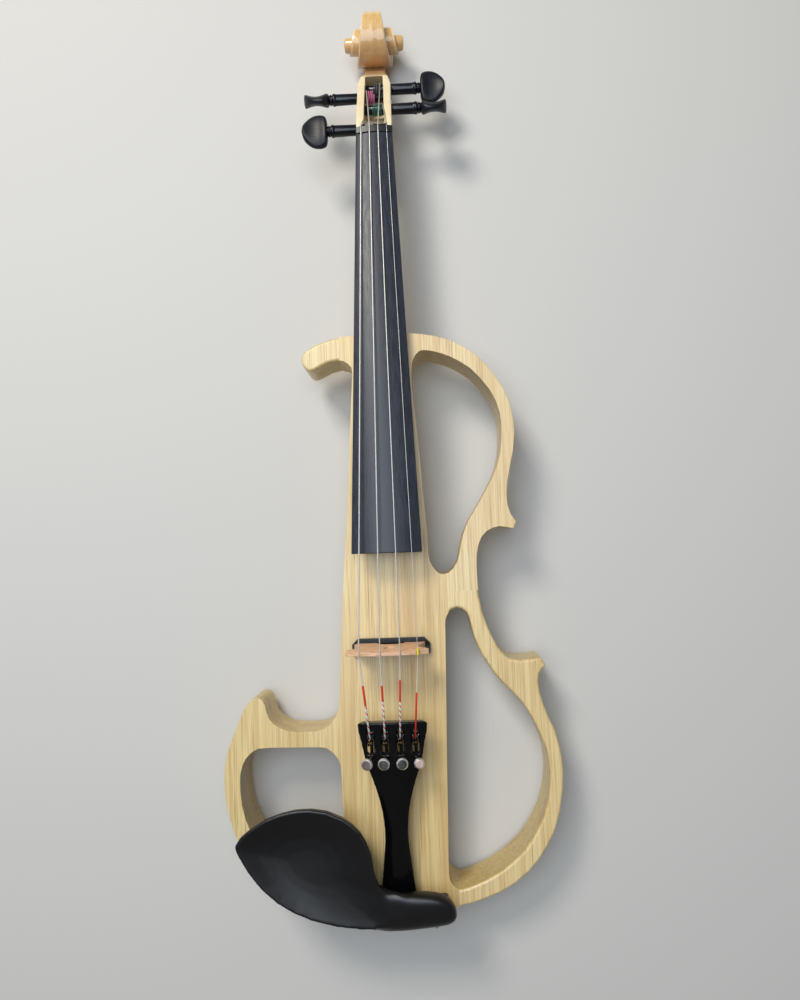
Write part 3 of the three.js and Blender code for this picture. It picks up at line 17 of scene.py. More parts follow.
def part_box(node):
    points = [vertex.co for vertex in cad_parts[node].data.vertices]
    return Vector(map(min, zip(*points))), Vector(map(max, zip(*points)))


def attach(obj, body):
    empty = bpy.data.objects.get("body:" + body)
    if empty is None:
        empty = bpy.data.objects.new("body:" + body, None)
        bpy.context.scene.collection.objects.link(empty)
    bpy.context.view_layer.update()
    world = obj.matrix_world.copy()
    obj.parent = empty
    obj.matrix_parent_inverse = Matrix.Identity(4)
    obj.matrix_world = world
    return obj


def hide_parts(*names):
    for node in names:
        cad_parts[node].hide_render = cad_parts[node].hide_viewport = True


MM = 0.001
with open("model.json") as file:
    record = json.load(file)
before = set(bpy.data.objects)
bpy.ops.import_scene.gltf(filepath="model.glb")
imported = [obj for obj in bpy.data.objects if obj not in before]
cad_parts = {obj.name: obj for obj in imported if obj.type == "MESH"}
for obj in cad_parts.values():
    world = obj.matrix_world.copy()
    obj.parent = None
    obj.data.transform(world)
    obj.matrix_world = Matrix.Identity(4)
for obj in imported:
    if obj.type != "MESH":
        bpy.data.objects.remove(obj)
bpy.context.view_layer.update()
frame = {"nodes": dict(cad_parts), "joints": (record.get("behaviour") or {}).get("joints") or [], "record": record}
body_of = {node: body for body, nodes in frame["record"]["behaviour"]["bodies"].items() for node in nodes}
pivot_of = {joint["child"]: Vector(joint["pos_m"]) for joint in frame["joints"] if "pos_m" in joint}

# %% [markdown]
# ## The camera
# The picture was taken by hand from half a metre above the fingerboard, tilted a few degrees each way.
# A look-at constraint would lose that small roll, so the camera's three axes are written down instead.

# %% Place the camera
LENS_MM = 27.0
camera_place = Vector((26.64, 61.47, 497.63)) * MM
camera_right = Vector((0.99855, -0.03491, -0.04098))
camera_back = Vector((0.03876, -0.06215, 0.99731))
camera_up = camera_back.cross(camera_right).normalized()
camera_right = camera_up.cross(camera_back).normalized()
camera_data = bpy.data.cameras.new("camera")
camera_data.lens = LENS_MM
camera_data.sensor_width = 36.0
camera_data.clip_start = 0.01
camera = bpy.data.objects.new("camera", camera_data)
turn = Matrix((camera_right, camera_up, camera_back.normalized())).transposed()
camera.matrix_world = Matrix.Translation(camera_place) @ turn.to_4x4()
bpy.context.scene.collection.objects.link(camera)
bpy.context.scene.camera = camera
bpy.context.scene.view_settings.view_transform = "Standard"
print("camera", round(camera_place.z / MM), "mm over the back of the body")

# %% [markdown]
# ## Colours and nodes
# Blender's colour sockets want linear light, while a given colour is written in sRGB. One function
# turns the usual six hex digits into linear values. A second one adds a node and sets its inputs, by name
# or by number (i0, i1), and links an input where it is given another node's output. Every finish below is
# built from these two, and the rest only shorten what comes up often.

# %% Helpers for every finish
def tint(hex_digits, alpha=1.0):
    channels = [int(hex_digits[k : k + 2], 16) / 255 for k in (0, 2, 4)]
    linear = [c / 12.92 if c <= 0.04045 else ((c + 0.055) / 1.055) ** 2.4 for c in channels]
    return (*linear, alpha)


def feed(tree, socket, value):
    if isinstance(value, bpy.types.NodeSocket):
        tree.links.new(value, socket)
    else:
        socket.default_value = value


def add(tree, kind, settings=None, **inputs):
    node = tree.nodes.new("ShaderNode" + kind)
    for name, value in (settings or {}).items():
        setattr(node, name, value)
    for name, value in inputs.items():
        numbered = name[0] == "i" and name[1:].isdigit()
        feed(tree, node.inputs[int(name[1:]) if numbered else name.replace("_", " ")], value)
    return node


def maths(tree, operation, *values):
    inputs = {"i" + str(k): value for k, value in enumerate(values)}
    return add(tree, "Math", {"operation": operation}, **inputs).outputs[0]


def rising(tree, value, zero_at, one_at):
    return add(tree, "MapRange", i0=value, i1=zero_at, i2=one_at).outputs[0]


def ramp(tree, factor, *stops):
    node = add(tree, "ValToRGB", Fac=factor)
    band = node.color_ramp
    while len(band.elements) < len(stops):
        band.elements.new(0.5)
    for element, (place, colour) in zip(band.elements, stops):
        element.position = place
        element.color = tint(colour) if isinstance(colour, str) else (colour, colour, colour, 1)
    return node.outputs["Color"]


def dress(tree, shader, **inputs):
    for name, value in inputs.items():
        feed(tree, shader.inputs[name.replace("_", " ")], value)


def start_finish(name):
    finish = bpy.data.materials.new(name)
    finish.use_nodes = True
    tree = finish.node_tree
    shader = tree.nodes["Principled BSDF"]
    place = add(tree, "TexCoord").outputs["Object"]
    return finish, tree, shader, place


def stretched(tree, place, scale, shift=(0, 0, 0)):
    return add(tree, "Mapping", Vector=place, Scale=scale, Location=shift).outputs["Vector"]


def noise(tree, place, size_mm, detail=2.0, roughness=0.5, distortion=0.0):
    node = add(tree, "TexNoise", Vector=place, Scale=1 / (size_mm * MM), Detail=detail,
               Roughness=roughness, Distortion=distortion)
    return node.outputs["Fac"]


def mixed(tree, factor, a, b, blend="MIX"):
    # a mix node has sockets for every kind of data, and 6, 7 and the output 2 are those for colours
    return add(tree, "Mix", {"data_type": "RGBA", "blend_type": blend}, i0=factor, i6=a, i7=b).outputs[2]


def bumped(tree, shader, height, depth_mm, strength=1.0):
    node = add(tree, "Bump", Strength=strength, Distance=depth_mm * MM, Height=height)
    tree.links.new(node.outputs["Normal"], shader.inputs["Normal"])


print("helpers ready")

# %% [markdown]
# ## The body's wood
# The frame is sawn from strips of pale open-grained wood, oiled to a honey colour under a thin satin
# lacquer. Long brown pores run along it, between bands where the wood is a little darker. Its sawn sides
# are painted darker and yellower than its faces, a painted shade set by the way each surface faces. A
# photograph could be wrapped on, but it would smear round the sawn edges. Noise stretched along the grain
# goes through the whole block instead, so faces, edges and end grain all agree. Each strip gets its own
# shift, so that no two match.

# %% The body's wood
STREAK_BROWN, PORE_BROWN, SIDE_SHADE_TINT = "bd9254", "93683a", "e9e6c8"


def make_oak(name, shift, pale, deep, bands_mm=13.0):
    finish, tree, shader, place = start_finish(name)
    moved = stretched(tree, place, (1, 1, 1), shift)
    sway = add(tree, "TexNoise", Vector=stretched(tree, moved, (1, 0.12, 1)), Scale=1 / (55 * MM), Detail=1.0)
    bent = add(tree, "VectorMath", {"operation": "MULTIPLY_ADD"}, i0=sway.outputs["Color"],
               i1=(0.006, 0.0, 0.006), i2=moved).outputs[0]
    lengthwise = stretched(tree, bent, (1, 0.03, 1))
    bands = noise(tree, lengthwise, bands_mm, 3.0, 0.6)
    colour = ramp(tree, bands, (0.3, pale), (0.5, pale), (0.72, deep))
    streaks = noise(tree, stretched(tree, bent, (1, 0.01, 1)), 1.3, 4.0, 0.7)
    colour = mixed(tree, ramp(tree, streaks, (0.44, 0.0), (0.7, 0.6)), colour, tint(STREAK_BROWN))
    pores = noise(tree, stretched(tree, bent, (1, 0.014, 1)), 0.5, 2.0, 0.6)
    where = noise(tree, lengthwise, 5.0, 1.0, 0.5)
    dark = maths(tree, "MULTIPLY", ramp(tree, pores, (0.54, 0.0), (0.68, 1.0)),
                 ramp(tree, where, (0.34, 0.12), (0.62, 0.62)))
    colour = mixed(tree, dark, colour, tint(PORE_BROWN))
    facing = add(tree, "SeparateXYZ", Vector=add(tree, "TexCoord").outputs["Normal"]).outputs["Z"]
    # the sides are painted darker and yellower than the faces: painted shade, chosen by which way a surface faces
    painted_side_shade = ramp(tree, maths(tree, "ABSOLUTE", facing), (0.3, 1.0), (0.85, 0.0))
    colour = mixed(tree, painted_side_shade, colour, tint(SIDE_SHADE_TINT), "MULTIPLY")
    dress(tree, shader, Base_Color=colour, Roughness=ramp(tree, pores, (0.4, 0.36), (0.7, 0.52)),
          Coat_Weight=0.35, Coat_Roughness=0.18)
    bumped(tree, shader, maths(tree, "MULTIPLY", dark, -1.0), 0.05, 0.6)
    return finish


block_wood = make_oak("lacquered oak, centre block", (0, 0, 0), "e8ce94", "cfac70")
horn_wood = make_oak("lacquered oak, upper horn", (0.31, 0.11, 0.2), "ecd6a0", "d3b276")
upper_wood = make_oak("lacquered oak, treble upper bow", (0.57, 0.43, 0.1), "ecd5a2", "d8b67e", 18.0)
lower_wood = make_oak("lacquered oak, treble lower bow", (0.83, 0.21, 0.4), "ebd49e", "d5b378", 18.0)
bass_wood = make_oak("lacquered oak, bass lower bow", (1.12, 0.37, 0.3), "e9d299", "d2af73", 16.0)
print("five strips of one wood")

# %% [markdown]
# ## Taking a solid over
# A CAD solid is exact but its edges are knife sharp, and its mesh is loose triangles. Each visible piece
# starts as a merged copy whose flat faces are one face again. Then its edges can be bevelled as a maker
# breaks them with sandpaper. A weighted normal keeps the wide faces flat to the eye, right up to the bevel.
# The solid itself stays untouched, hidden behind the piece that stands for it.

# %% Copy a solid, round its edges, hand over the finished piece
SAME_POINT = 0.002 * MM
FLAT = math.radians(0.5)


def copied(node):
    bm = bmesh.new()
    bm.from_mesh(frame["nodes"][node].data)
    bmesh.ops.remove_doubles(bm, verts=bm.verts, dist=SAME_POINT)
    return bm


def merged_copy(node):
    bm = copied(node)
    bmesh.ops.dissolve_limit(bm, angle_limit=FLAT, verts=bm.verts, edges=bm.edges)
    return bm


def sharp_edges(bm, degrees=35.0, wanted=None):
    found = []
    for edge in bm.edges:
        if len(edge.link_faces) == 2 and edge.calc_face_angle() > math.radians(degrees):
            if wanted is None or wanted(edge):
                found.append(edge)
    return found


def round_over(bm, edges, width_mm, segments=3):
    bmesh.ops.bevel(bm, geom=edges, offset=width_mm * MM, offset_type="OFFSET", segments=segments,
                    profile=0.5, affect="EDGES", clamp_overlap=True, material=-1)
    return bm


def put_in(name, bm):
    mesh = bpy.data.meshes.new(name)
    bm.to_mesh(mesh)
    bm.free()
    thing = bpy.data.objects.new(name, mesh)
    bpy.context.scene.collection.objects.link(thing)
    return thing


def hand_over(name, bm, finish, nodes, smooth_degrees=38.0, flat_faces=False):
    piece = put_in(name, bm)
    for material in finish if isinstance(finish, list) else [finish]:
        piece.data.materials.append(material)
    piece.data.shade_smooth()
    piece.data.set_sharp_from_angle(angle=math.radians(smooth_degrees))
    if flat_faces:
        weigh = piece.modifiers.new("weigh", "WEIGHTED_NORMAL")
        weigh.keep_sharp = True
    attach(piece, body_of[nodes[0]])
    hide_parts(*nodes)
    return piece


def softened(node, finish, edge_mm=0.4, segments=2, degrees=35.0, smooth_degrees=38.0):
    bm = merged_copy(node)
    if edge_mm:
        round_over(bm, sharp_edges(bm, degrees), edge_mm, segments)
    return hand_over(node + "_piece", bm, finish, [node], smooth_degrees, bool(edge_mm))


print("ready to take solids over")

# %% [markdown]
# ## The five strips of the frame
# On the real body a router rounds every outside edge by about two millimetres after the strips are glued,
# so the glue joints themselves stay square. A bevel modifier can't tell a joint from an edge. Here each
# edge is asked where it lies: on the front or back face, not on a joint, and not inside the pocket that
# holds the electronics.

# %% The frame's strips
FRONT = 30.0  # height of the front face over the back
ROUND_OVER = 2.0
POCKET_MARGIN = 1.5
HEEL_HALF, HEEL_FROM = 15, 160  # where the neck's heel covers the front edge
SAME_HEIGHT = 0.01
SQUARE = 0.9999  # a glued side faces straight along X or Y
low_cover, high_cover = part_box("back_cover")
low_saddle, high_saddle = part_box("saddle")


def over_cover(at, axis):
    return low_cover[axis] - POCKET_MARGIN * MM < at[axis] < high_cover[axis] + POCKET_MARGIN * MM


def in_pocket(at):
    return over_cover(at, 0) and over_cover(at, 1) and at.z < FRONT * MM / 2


def at_a_fitting(at):
    at_saddle = low_saddle.x - MM < at.x < high_saddle.x + MM and at.y < high_saddle.y + MM
    at_heel = abs(at.x) < HEEL_HALF * MM and at.y > HEEL_FROM * MM
    return at.z > FRONT * MM / 2 and (at_saddle or at_heel)


def outside_edge(edge):
    ends = [v.co.z for v in edge.verts]
    if not any(all(abs(z - face * MM) < SAME_HEIGHT * MM for z in ends) for face in (0, FRONT)):
        return False
    middle = (edge.verts[0].co + edge.verts[1].co) / 2
    side = min(edge.link_faces, key=lambda face: abs(face.normal.z)).normal
    glued = abs(side.x) > SQUARE or abs(side.y) > SQUARE
    return not glued and not in_pocket(middle) and not at_a_fitting(middle)


strip_woods = {"bass_horn": horn_wood, "treble_upper_bow": upper_wood, "treble_lower_bow": lower_wood,
               "bass_lower_bow": bass_wood, "centre_block": block_wood}
for node, wood in strip_woods.items():
    bm = merged_copy(node)
    rim = sharp_edges(bm, 60, outside_edge)
    round_over(bm, rim, ROUND_OVER, 4)
    strip = hand_over(node + "_strip", bm, wood, [node], flat_faces=True)
    print(strip.name, len(rim), "edges rounded", len(strip.data.polygons), "faces")

# %% [markdown]
# ## Sanded shapes
# The neck, the chin rest and the tailpiece have hardly a straight edge: they are rasped and sanded. Bevels
# can't run over such mixed curves. A voxel remesh gives the copy an even skin, and a few smoothing passes
# then do what sandpaper does, taking most off the corners. The same cell holds the lathe, which spins a
# profile into a round piece, and the saw, which makes a block between two corners.

# %% Rasp, sandpaper, lathe and saw
def as_built(thing):
    # the mesh of an object with its modifiers applied, as a bmesh
    shape = bpy.data.meshes.new_from_object(thing.evaluated_get(bpy.context.evaluated_depsgraph_get()))
    bm = bmesh.new()
    bm.from_mesh(shape)
    return bm


def sanded(bm, voxel_mm, passes):
    bmesh.ops.triangulate(bm, faces=bm.faces)
    rough = put_in("rough", bm)
    skin = rough.modifiers.new("skin", "REMESH")
    skin.mode = "VOXEL"
    skin.voxel_size = voxel_mm * MM
    paper = rough.modifiers.new("paper", "SMOOTH")
    paper.factor = 0.5
    paper.iterations = passes
    smooth = as_built(rough)
    bpy.data.objects.remove(rough)
    return smooth


def stood(bm, centre, axis):
    # from round Z at the origin to round an axis through a centre
    aim = Vector(axis).to_track_quat("Z", "X").to_matrix()
    bmesh.ops.rotate(bm, verts=bm.verts, cent=(0, 0, 0), matrix=aim)
    bmesh.ops.translate(bm, verts=bm.verts, vec=Vector(centre))
    return bm


def turned(profile, centre, axis, steps=40):
    # a profile of (radius, distance along the axis) pairs in mm, which starts and ends on the axis
    bm = bmesh.new()
    dots = [bm.verts.new((radius * MM, 0, along * MM)) for radius, along in profile]
    lines = [bm.edges.new(pair) for pair in zip(dots, dots[1:])]
    bmesh.ops.spin(bm, geom=dots + lines, axis=(0, 0, 1), cent=(0, 0, 0), angle=2 * math.pi, steps=steps,
                   use_merge=True)
    bmesh.ops.remove_doubles(bm, verts=bm.verts, dist=0.001 * MM)
    bmesh.ops.recalc_face_normals(bm, faces=bm.faces)
    return stood(bm, centre, axis)


def together(*parts):
    whole = bmesh.new()
    for part in parts:
        mesh = bpy.data.meshes.new("part")
        part.to_mesh(mesh)
        part.free()
        whole.from_mesh(mesh)
        bpy.data.meshes.remove(mesh)
    return whole


def block(low, high, edge_mm=0.4):
    bm = bmesh.new()
    bmesh.ops.create_cube(bm, size=1)
    low, high = Vector(low) * MM, Vector(high) * MM
    bmesh.ops.scale(bm, verts=bm.verts, vec=high - low)
    bmesh.ops.translate(bm, verts=bm.verts, vec=(low + high) / 2)
    return round_over(bm, bm.edges[:], edge_mm, 3) if edge_mm else bm


def drawn_out(bm, front):
    # extrudes a ring of edges, and gives the new ring and its points
    grown = bmesh.ops.extrude_edge_only(bm, edges=front)["geom"]
    edges = [item for item in grown if isinstance(item, bmesh.types.BMEdge)]
    return edges, [item for item in grown if isinstance(item, bmesh.types.BMVert)]


print("rasp, sandpaper, lathe and saw ready")

# %% [markdown]
# ## The neck's maple
# Neck, pegbox and scroll are carved from one block of maple and stand under a glossier, warmer lacquer than
# the body. Maple has no open pores: its figure is fine short flecks and a faint cross flame, so the same
# stretched noise is used with lower contrast, and a wave across the neck gives the flame. The pegbox is
# painted paler, a painted highlight where the light falls on it, and the throat behind it darker, a painted
# shade under the scroll. Both zones fade in and out along the neck. The volute's chamfered edges get a
# painted highlight, which is a second finish with lighter wood.

# %% The neck's maple
FLECK_BROWN, FLAME_BROWN, PAINTED_PEGBOX_LIGHT, PAINTED_THROAT_SHADE = "b67f42", "c98f48", "f6e8c6", "ab744f"
# metres along the neck where each zone is still nothing and where it is full, at its two ends
PEGBOX_LIGHT_FROM, PEGBOX_LIGHT_TO = (0.325, 0.333), (0.391, 0.377)
THROAT_SHADE_FROM, THROAT_SHADE_TO = (0.379, 0.391), (0.424, 0.394)


def make_maple(name, light, mid):
    finish, tree, shader, place = start_finish(name)
    lengthwise = stretched(tree, place, (1, 0.06, 1))
    figure = noise(tree, lengthwise, 5.0, 3.0, 0.6)
    colour = ramp(tree, figure, (0.35, light), (0.7, mid))
    flecks = noise(tree, stretched(tree, place, (1, 0.12, 1)), 0.7, 1.0, 0.5)
    colour = mixed(tree, ramp(tree, flecks, (0.58, 0.0), (0.72, 0.4)), colour, tint(FLECK_BROWN))
    flame = add(tree, "TexWave", {"bands_direction": "Y"}, Vector=place, Scale=28.0, Distortion=5.0,
                Detail=2.0, Detail_Scale=1.4).outputs["Fac"]
    colour = mixed(tree, ramp(tree, flame, (0.3, 0.0), (0.9, 0.16)), colour, tint(FLAME_BROWN))
    along = add(tree, "SeparateXYZ", Vector=place).outputs["Y"]
    # the first zone is a painted highlight on the pegbox, the second a painted shade in the throat
    for first, last, most, shade in ((PEGBOX_LIGHT_FROM, PEGBOX_LIGHT_TO, 0.75, PAINTED_PEGBOX_LIGHT),
                                     (THROAT_SHADE_FROM, THROAT_SHADE_TO, 0.7, PAINTED_THROAT_SHADE)):
        zone = maths(tree, "MULTIPLY", rising(tree, along, *first), rising(tree, along, *last))
        colour = mixed(tree, maths(tree, "MULTIPLY", zone, most), colour, tint(shade))
    dress(tree, shader, Base_Color=colour, Roughness=0.32, Coat_Weight=0.8, Coat_Roughness=0.06)
    bumped(tree, shader, noise(tree, place, 6.0, 1.0), 0.12, 0.5)
    return finish


maple = make_maple("lacquered maple", "f0cf8f", "dfb36c")
# a lighter maple that paints a highlight along the volute's chamfers
edge_highlight_maple = make_maple("maple, painted edge highlight", "fff1cc", "fbe3b4")
print(maple.name, edge_highlight_maple.name)

# %% [markdown]
# ## Neck and pegbox
# The carved copy stops at the throat, because the volute behind it is modelled on its own below. Cutting
# with a plane and closing the cut keeps the copy watertight, which a voxel remesh needs. A second copy is
# cut down to the wedge of wood under the throat. The remesh fuses the two.

# %% Neck and pegbox, cut off at the throat
THROAT_TOP, THROAT_BACK = (396.5, -9.0), (404.1, -25.2)
WEDGE_TOP, WEDGE_END = (408.7, -14.1), (405.0, -24.9)


def cut_off(bm, start, end, away):
    # a plane through two (y, z) points and along X, which clears the side that the third point is on
    middle = Vector((0, *start)) * MM
    facing = Vector((0, end[1] - start[1], start[0] - end[0])).normalized()
    if facing.dot(Vector((0, *away)) * MM - middle) < 0:
        facing.negate()
    bmesh.ops.bisect_plane(bm, geom=bm.verts[:] + bm.edges[:] + bm.faces[:], plane_co=middle, plane_no=facing,
                           clear_outer=True)
    bmesh.ops.holes_fill(bm, edges=[edge for edge in bm.edges if edge.is_boundary], sides=0)
    return bm


pegbox = cut_off(copied("neck"), THROAT_TOP, THROAT_BACK, (430, 0))
wedge = cut_off(copied("neck"), THROAT_TOP, WEDGE_TOP, (400, 20))
wedge = cut_off(wedge, WEDGE_TOP, WEDGE_END, (430, -20))
wedge = cut_off(wedge, (394, -30), (394, 0), (300, 0))
neck_bm = sanded(together(pegbox, wedge), 0.6, 3)
print("neck", len(neck_bm.faces), "faces")

# %% [markdown]
# ## The volute
# The scroll is a ribbon of wood that rolls up round an eye while it grows wider, so that each inner turn
# stands prouder than the one outside it. Its crown has two shallow flutes beside a low ridge, and a narrow
# chamfer along each edge. A curve with a bevel can't widen and shrink at once. Here one cross-section is
# extruded round the eye in small steps, and each step is turned, widened and drawn in a little. The points
# of the chamfers carry a mark in a layer that follows them, so that their faces can get the painted highlight.

# %% The volute's ribbon
EYE = Vector((0, 412.13, -5.0)) * MM
SCROLL_RADIUS = 20.5
EYE_ACROSS = 41.4
# ROLL has the crown's distance from the eye by degrees, and WIDTH its width, as shares of the two above
ROLL = [(222, 1.42), (232, 1.24), (242, 1.11), (252, 1.035), (264, 1.0), (360, 1.0), (400, 0.97), (450, 0.9),
        (540, 0.76), (630, 0.62), (720, 0.52), (810, 0.43), (900, 0.36), (990, 0.3), (1080, 0.255)]
WIDTH = [(222, 0.42), (250, 0.34), (300, 0.295), (360, 0.285), (400, 0.295), (450, 0.38), (540, 0.575),
         (573, 0.6), (630, 0.61), (720, 0.62), (757, 0.63), (810, 0.7), (900, 0.81), (990, 0.88),
         (1080, 0.93)]
CROWN = [(-1.0, 0.94), (-0.91, 0.985), (-0.78, 0.992), (-0.45, 0.974), (-0.12, 0.988), (0.0, 0.993)]
SECTION = CROWN + [(-x, r) for x, r in reversed(CROWN[:-1])] + [(0.955, 0.72), (0.93, 0.5), (-0.93, 0.5),
                                                               (-0.955, 0.72)]
STEP = 6


def flowing(table, at):
    # the values of a table at one place, on a smooth curve through its rows
    k = next((i for i, row in enumerate(table) if row[0] >= at), len(table) - 1)
    k = max(k, 1)
    before, low, high, after = (table[min(max(i, 0), len(table) - 1)] for i in (k - 2, k - 1, k, k + 1))
    long = high[0] - low[0]
    share = (at - low[0]) / long
    values = []
    for column in range(1, len(low)):
        leaving = (high[column] - before[column]) / (high[0] - before[0]) * long
        arriving = (after[column] - low[column]) / (after[0] - low[0]) * long
        rest = 1 - share
        values.append(low[column] * (1 + 2 * share) * rest**2 + high[column] * share**2 * (3 - 2 * share)
                      + leaving * share * rest**2 - arriving * share**2 * rest)
    return values


def section_frame(degrees):
    wide = flowing(WIDTH, degrees)[0] * EYE_ACROSS / 2 * MM
    out = flowing(ROLL, degrees)[0] * SCROLL_RADIUS * MM
    size = Matrix.Diagonal((wide, 1, out, 1))
    return Matrix.Translation(EYE) @ Matrix.Rotation(math.radians(degrees - 90), 4, "X") @ size


ribbon = bmesh.new()
first = section_frame(ROLL[0][0])
chamfer = ribbon.verts.layers.float.new("chamfer")
ring = [ribbon.verts.new(first @ Vector((x, 0, r))) for x, r in SECTION]
for (x, r), v in zip(SECTION, ring):
    v[chamfer] = 1.0 if abs(x) > 0.9 and r > 0.9 else 0.0
front = [ribbon.edges.new((ring[k - 1], ring[k])) for k in range(len(ring))]
bmesh.ops.contextual_create(ribbon, geom=front)
at = ROLL[0][0]
while at < ROLL[-1][0]:
    onward = min(at + STEP, ROLL[-1][0])
    front, moved = drawn_out(ribbon, front)
    bmesh.ops.transform(ribbon, verts=moved, matrix=section_frame(onward) @ section_frame(at).inverted())
    at = onward
bmesh.ops.contextual_create(ribbon, geom=front)
for face in ribbon.faces:
    face.material_index = int(len(face.verts) == 4 and all(v[chamfer] for v in face.verts))
bmesh.ops.recalc_face_normals(ribbon, faces=ribbon.faces)
half = EYE_ACROSS / 2
EYE_PROFILE = [(0, -half), (3.2, -half), (4.4, -half + 0.5), (4.9, -half + 1.5), (4.9, half - 1.5),
               (4.4, half - 0.5), (3.2, half), (0, half)]
eye = turned(EYE_PROFILE, EYE, (1, 0, 0), 32)
print("volute", len(ribbon.faces), "faces in", (ROLL[-1][0] - ROLL[0][0]) // STEP, "steps")

# %% [markdown]
# Ribbon and eye are laid into the sanded neck as one piece, as they are one block of wood.

# %% Neck, pegbox and scroll as one piece
neck = hand_over("neck_and_scroll", together(neck_bm, ribbon, eye), [maple, edge_highlight_maple], ["neck"], 30)
print(neck.name, len(neck.data.polygons), "faces")

# %% [markdown]
# ## Black fingerboard, nut and saddle
# The fingerboard is hardwood stained black, with a dull sheen drawn out lengthwise by planing. Under soft
# light it looks more like slate than like black, and its black is painted a little slate-blue, a painted
# sheen of the cool light above it. A streaky roughness gives the sheen its lines.

# %% Stained black wood
def make_stained(name, dark, light, rough, streak_mm=0.8):
    finish, tree, shader, place = start_finish(name)
    streaks = noise(tree, stretched(tree, place, (1, 0.02, 1)), streak_mm, 2.0, 0.6)
    dress(tree, shader, Base_Color=ramp(tree, streaks, (0.3, dark), (0.75, light)),
          Roughness=ramp(tree, streaks, (0.3, rough - 0.06), (0.7, rough + 0.08)))
    bumped(tree, shader, streaks, 0.02, 0.5)
    return finish


# the blue in the fingerboard's black is a painted sheen of the cool overhead light
board_black = make_stained("stained fingerboard", "1f232d", "333947", 0.4)
fitting_black = make_stained("ebonised fittings", "17181a", "232427", 0.36, 1.6)
bm = merged_copy("fingerboard")
nut_end = [v for v in bm.verts if v.co.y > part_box("fingerboard")[1].y - MM]
bmesh.ops.translate(bm, verts=nut_end, vec=(0, 0.5 * MM, 0))  # it butts against the nut
round_over(bm, sharp_edges(bm), 0.6, 3)
print(hand_over("fingerboard_planed", bm, board_black, ["fingerboard"], flat_faces=True).name)
for node, finish, edge in (("nut", fitting_black, 0.35), ("saddle", fitting_black, 0.6)):
    print(softened(node, finish, edge, 3).name)

# %% [markdown]
# ## Pegs
# Each peg is turned: a tapering shank, two beads and a neck. Its head is a thumb piece, D-shaped with its
# flat side to the shank, thick at both ends and waisted between, where thumb and finger press. The shank
# and beads come off the lathe. The head is a ring extruded outwards in many small steps, each scaled to a
# table of widths and thicknesses. A bevelled curve would be round all along. Turning the shank leaves it
# polished, and the head's flats stay satin, so a peg wears the same black at two roughnesses.

# %% Peg black
def make_peg_black(name, rough):
    finish, tree, shader, place = start_finish(name)
    cloud = noise(tree, place, 7.0, 2.0)
    grain = noise(tree, stretched(tree, place, (0.08, 1, 1)), 0.6, 2.0, 0.6)
    # the blue in this black is a painted cool reflection of the light above; the black itself is the pegs' own
    dress(tree, shader, Base_Color=ramp(tree, cloud, (0.3, "0a0d13"), (0.75, "121722")),
          Roughness=ramp(tree, grain, (0.3, rough - 0.05), (0.7, rough + 0.07)), Specular_IOR_Level=0.4)
    bumped(tree, shader, grain, 0.03, 0.5)
    return finish


shank_black = make_peg_black("polished peg shank", 0.2)
head_black = make_peg_black("satin thumb piece", 0.42)
print(shank_black.name, head_black.name)

# %% The four pegs
PEG_TIP = {"g": 11.9, "e": 11.7, "d": 11.4, "a": 10.9}  # how far each shank goes past the middle
SHANK = [(3.65, 25.6), (3.66, 26.5), (3.85, 26.7), (4.0, 27.1), (4.02, 27.7), (3.9, 28.2), (3.5, 28.6),
         (3.12, 28.85), (3.1, 29.1), (3.35, 29.3), (3.52, 29.6), (3.52, 29.95), (3.35, 30.25), (3.1, 30.5),
         (3.0, 31.2), (2.8, 33.0), (0, 33.0)]
HEAD_FROM, HEAD_LONG = 30.95, 17.0
HEAD_HALF, HEAD_THICK = 11.2, 4.3
# each row: share of the head's length, then the shares of its half width and half thickness there
HEAD_ROWS = [(0, 0.3, 0.3), (0.02, 0.62, 0.8), (0.08, 0.86, 1), (0.2, 0.97, 0.9), (0.33, 1, 0.75),
             (0.5, 0.97, 0.68), (0.66, 0.86, 0.72), (0.8, 0.68, 0.84), (0.9, 0.5, 0.95), (0.97, 0.28, 0.93),
             (1, 0.1, 0.55)]
HEAD_STEPS = 30
FULLER = 0.8  # power that fills out the corners of the head's ring
EDGE_ON = 121.5  # degrees that two of the heads are turned from lying flat


def peg_head():
    bm = bmesh.new()
    bmesh.ops.create_circle(bm, cap_ends=True, segments=36, radius=1)
    for v in bm.verts:
        v.co.x = math.copysign(abs(v.co.x) ** FULLER, v.co.x)
        v.co.y = math.copysign(abs(v.co.y) ** FULLER, v.co.y)
    outwards = Vector((1, 0, 0)).to_track_quat("Z", "Y").to_matrix()
    bmesh.ops.rotate(bm, verts=bm.verts, cent=(0, 0, 0), matrix=outwards)
    front = bm.edges[:]
    size = [1.0, 1.0]
    at = 0.0
    for step in range(HEAD_STEPS + 1):
        share = 0.5 - 0.5 * math.cos(math.pi * step / HEAD_STEPS)
        wide, thick = flowing(HEAD_ROWS, share)
        wide, thick = wide * HEAD_HALF * MM, thick * HEAD_THICK * MM
        front, moved = drawn_out(bm, front) if step else (front, bm.verts[:])
        out = (HEAD_FROM + share * HEAD_LONG) * MM
        bmesh.ops.scale(bm, verts=moved, vec=(1, wide / size[0], thick / size[1]))
        bmesh.ops.translate(bm, verts=moved, vec=(out - at, 0, 0))
        size, at = [wide, thick], out
    bmesh.ops.contextual_create(bm, geom=front)
    bmesh.ops.recalc_face_normals(bm, faces=bm.faces)
    return bm


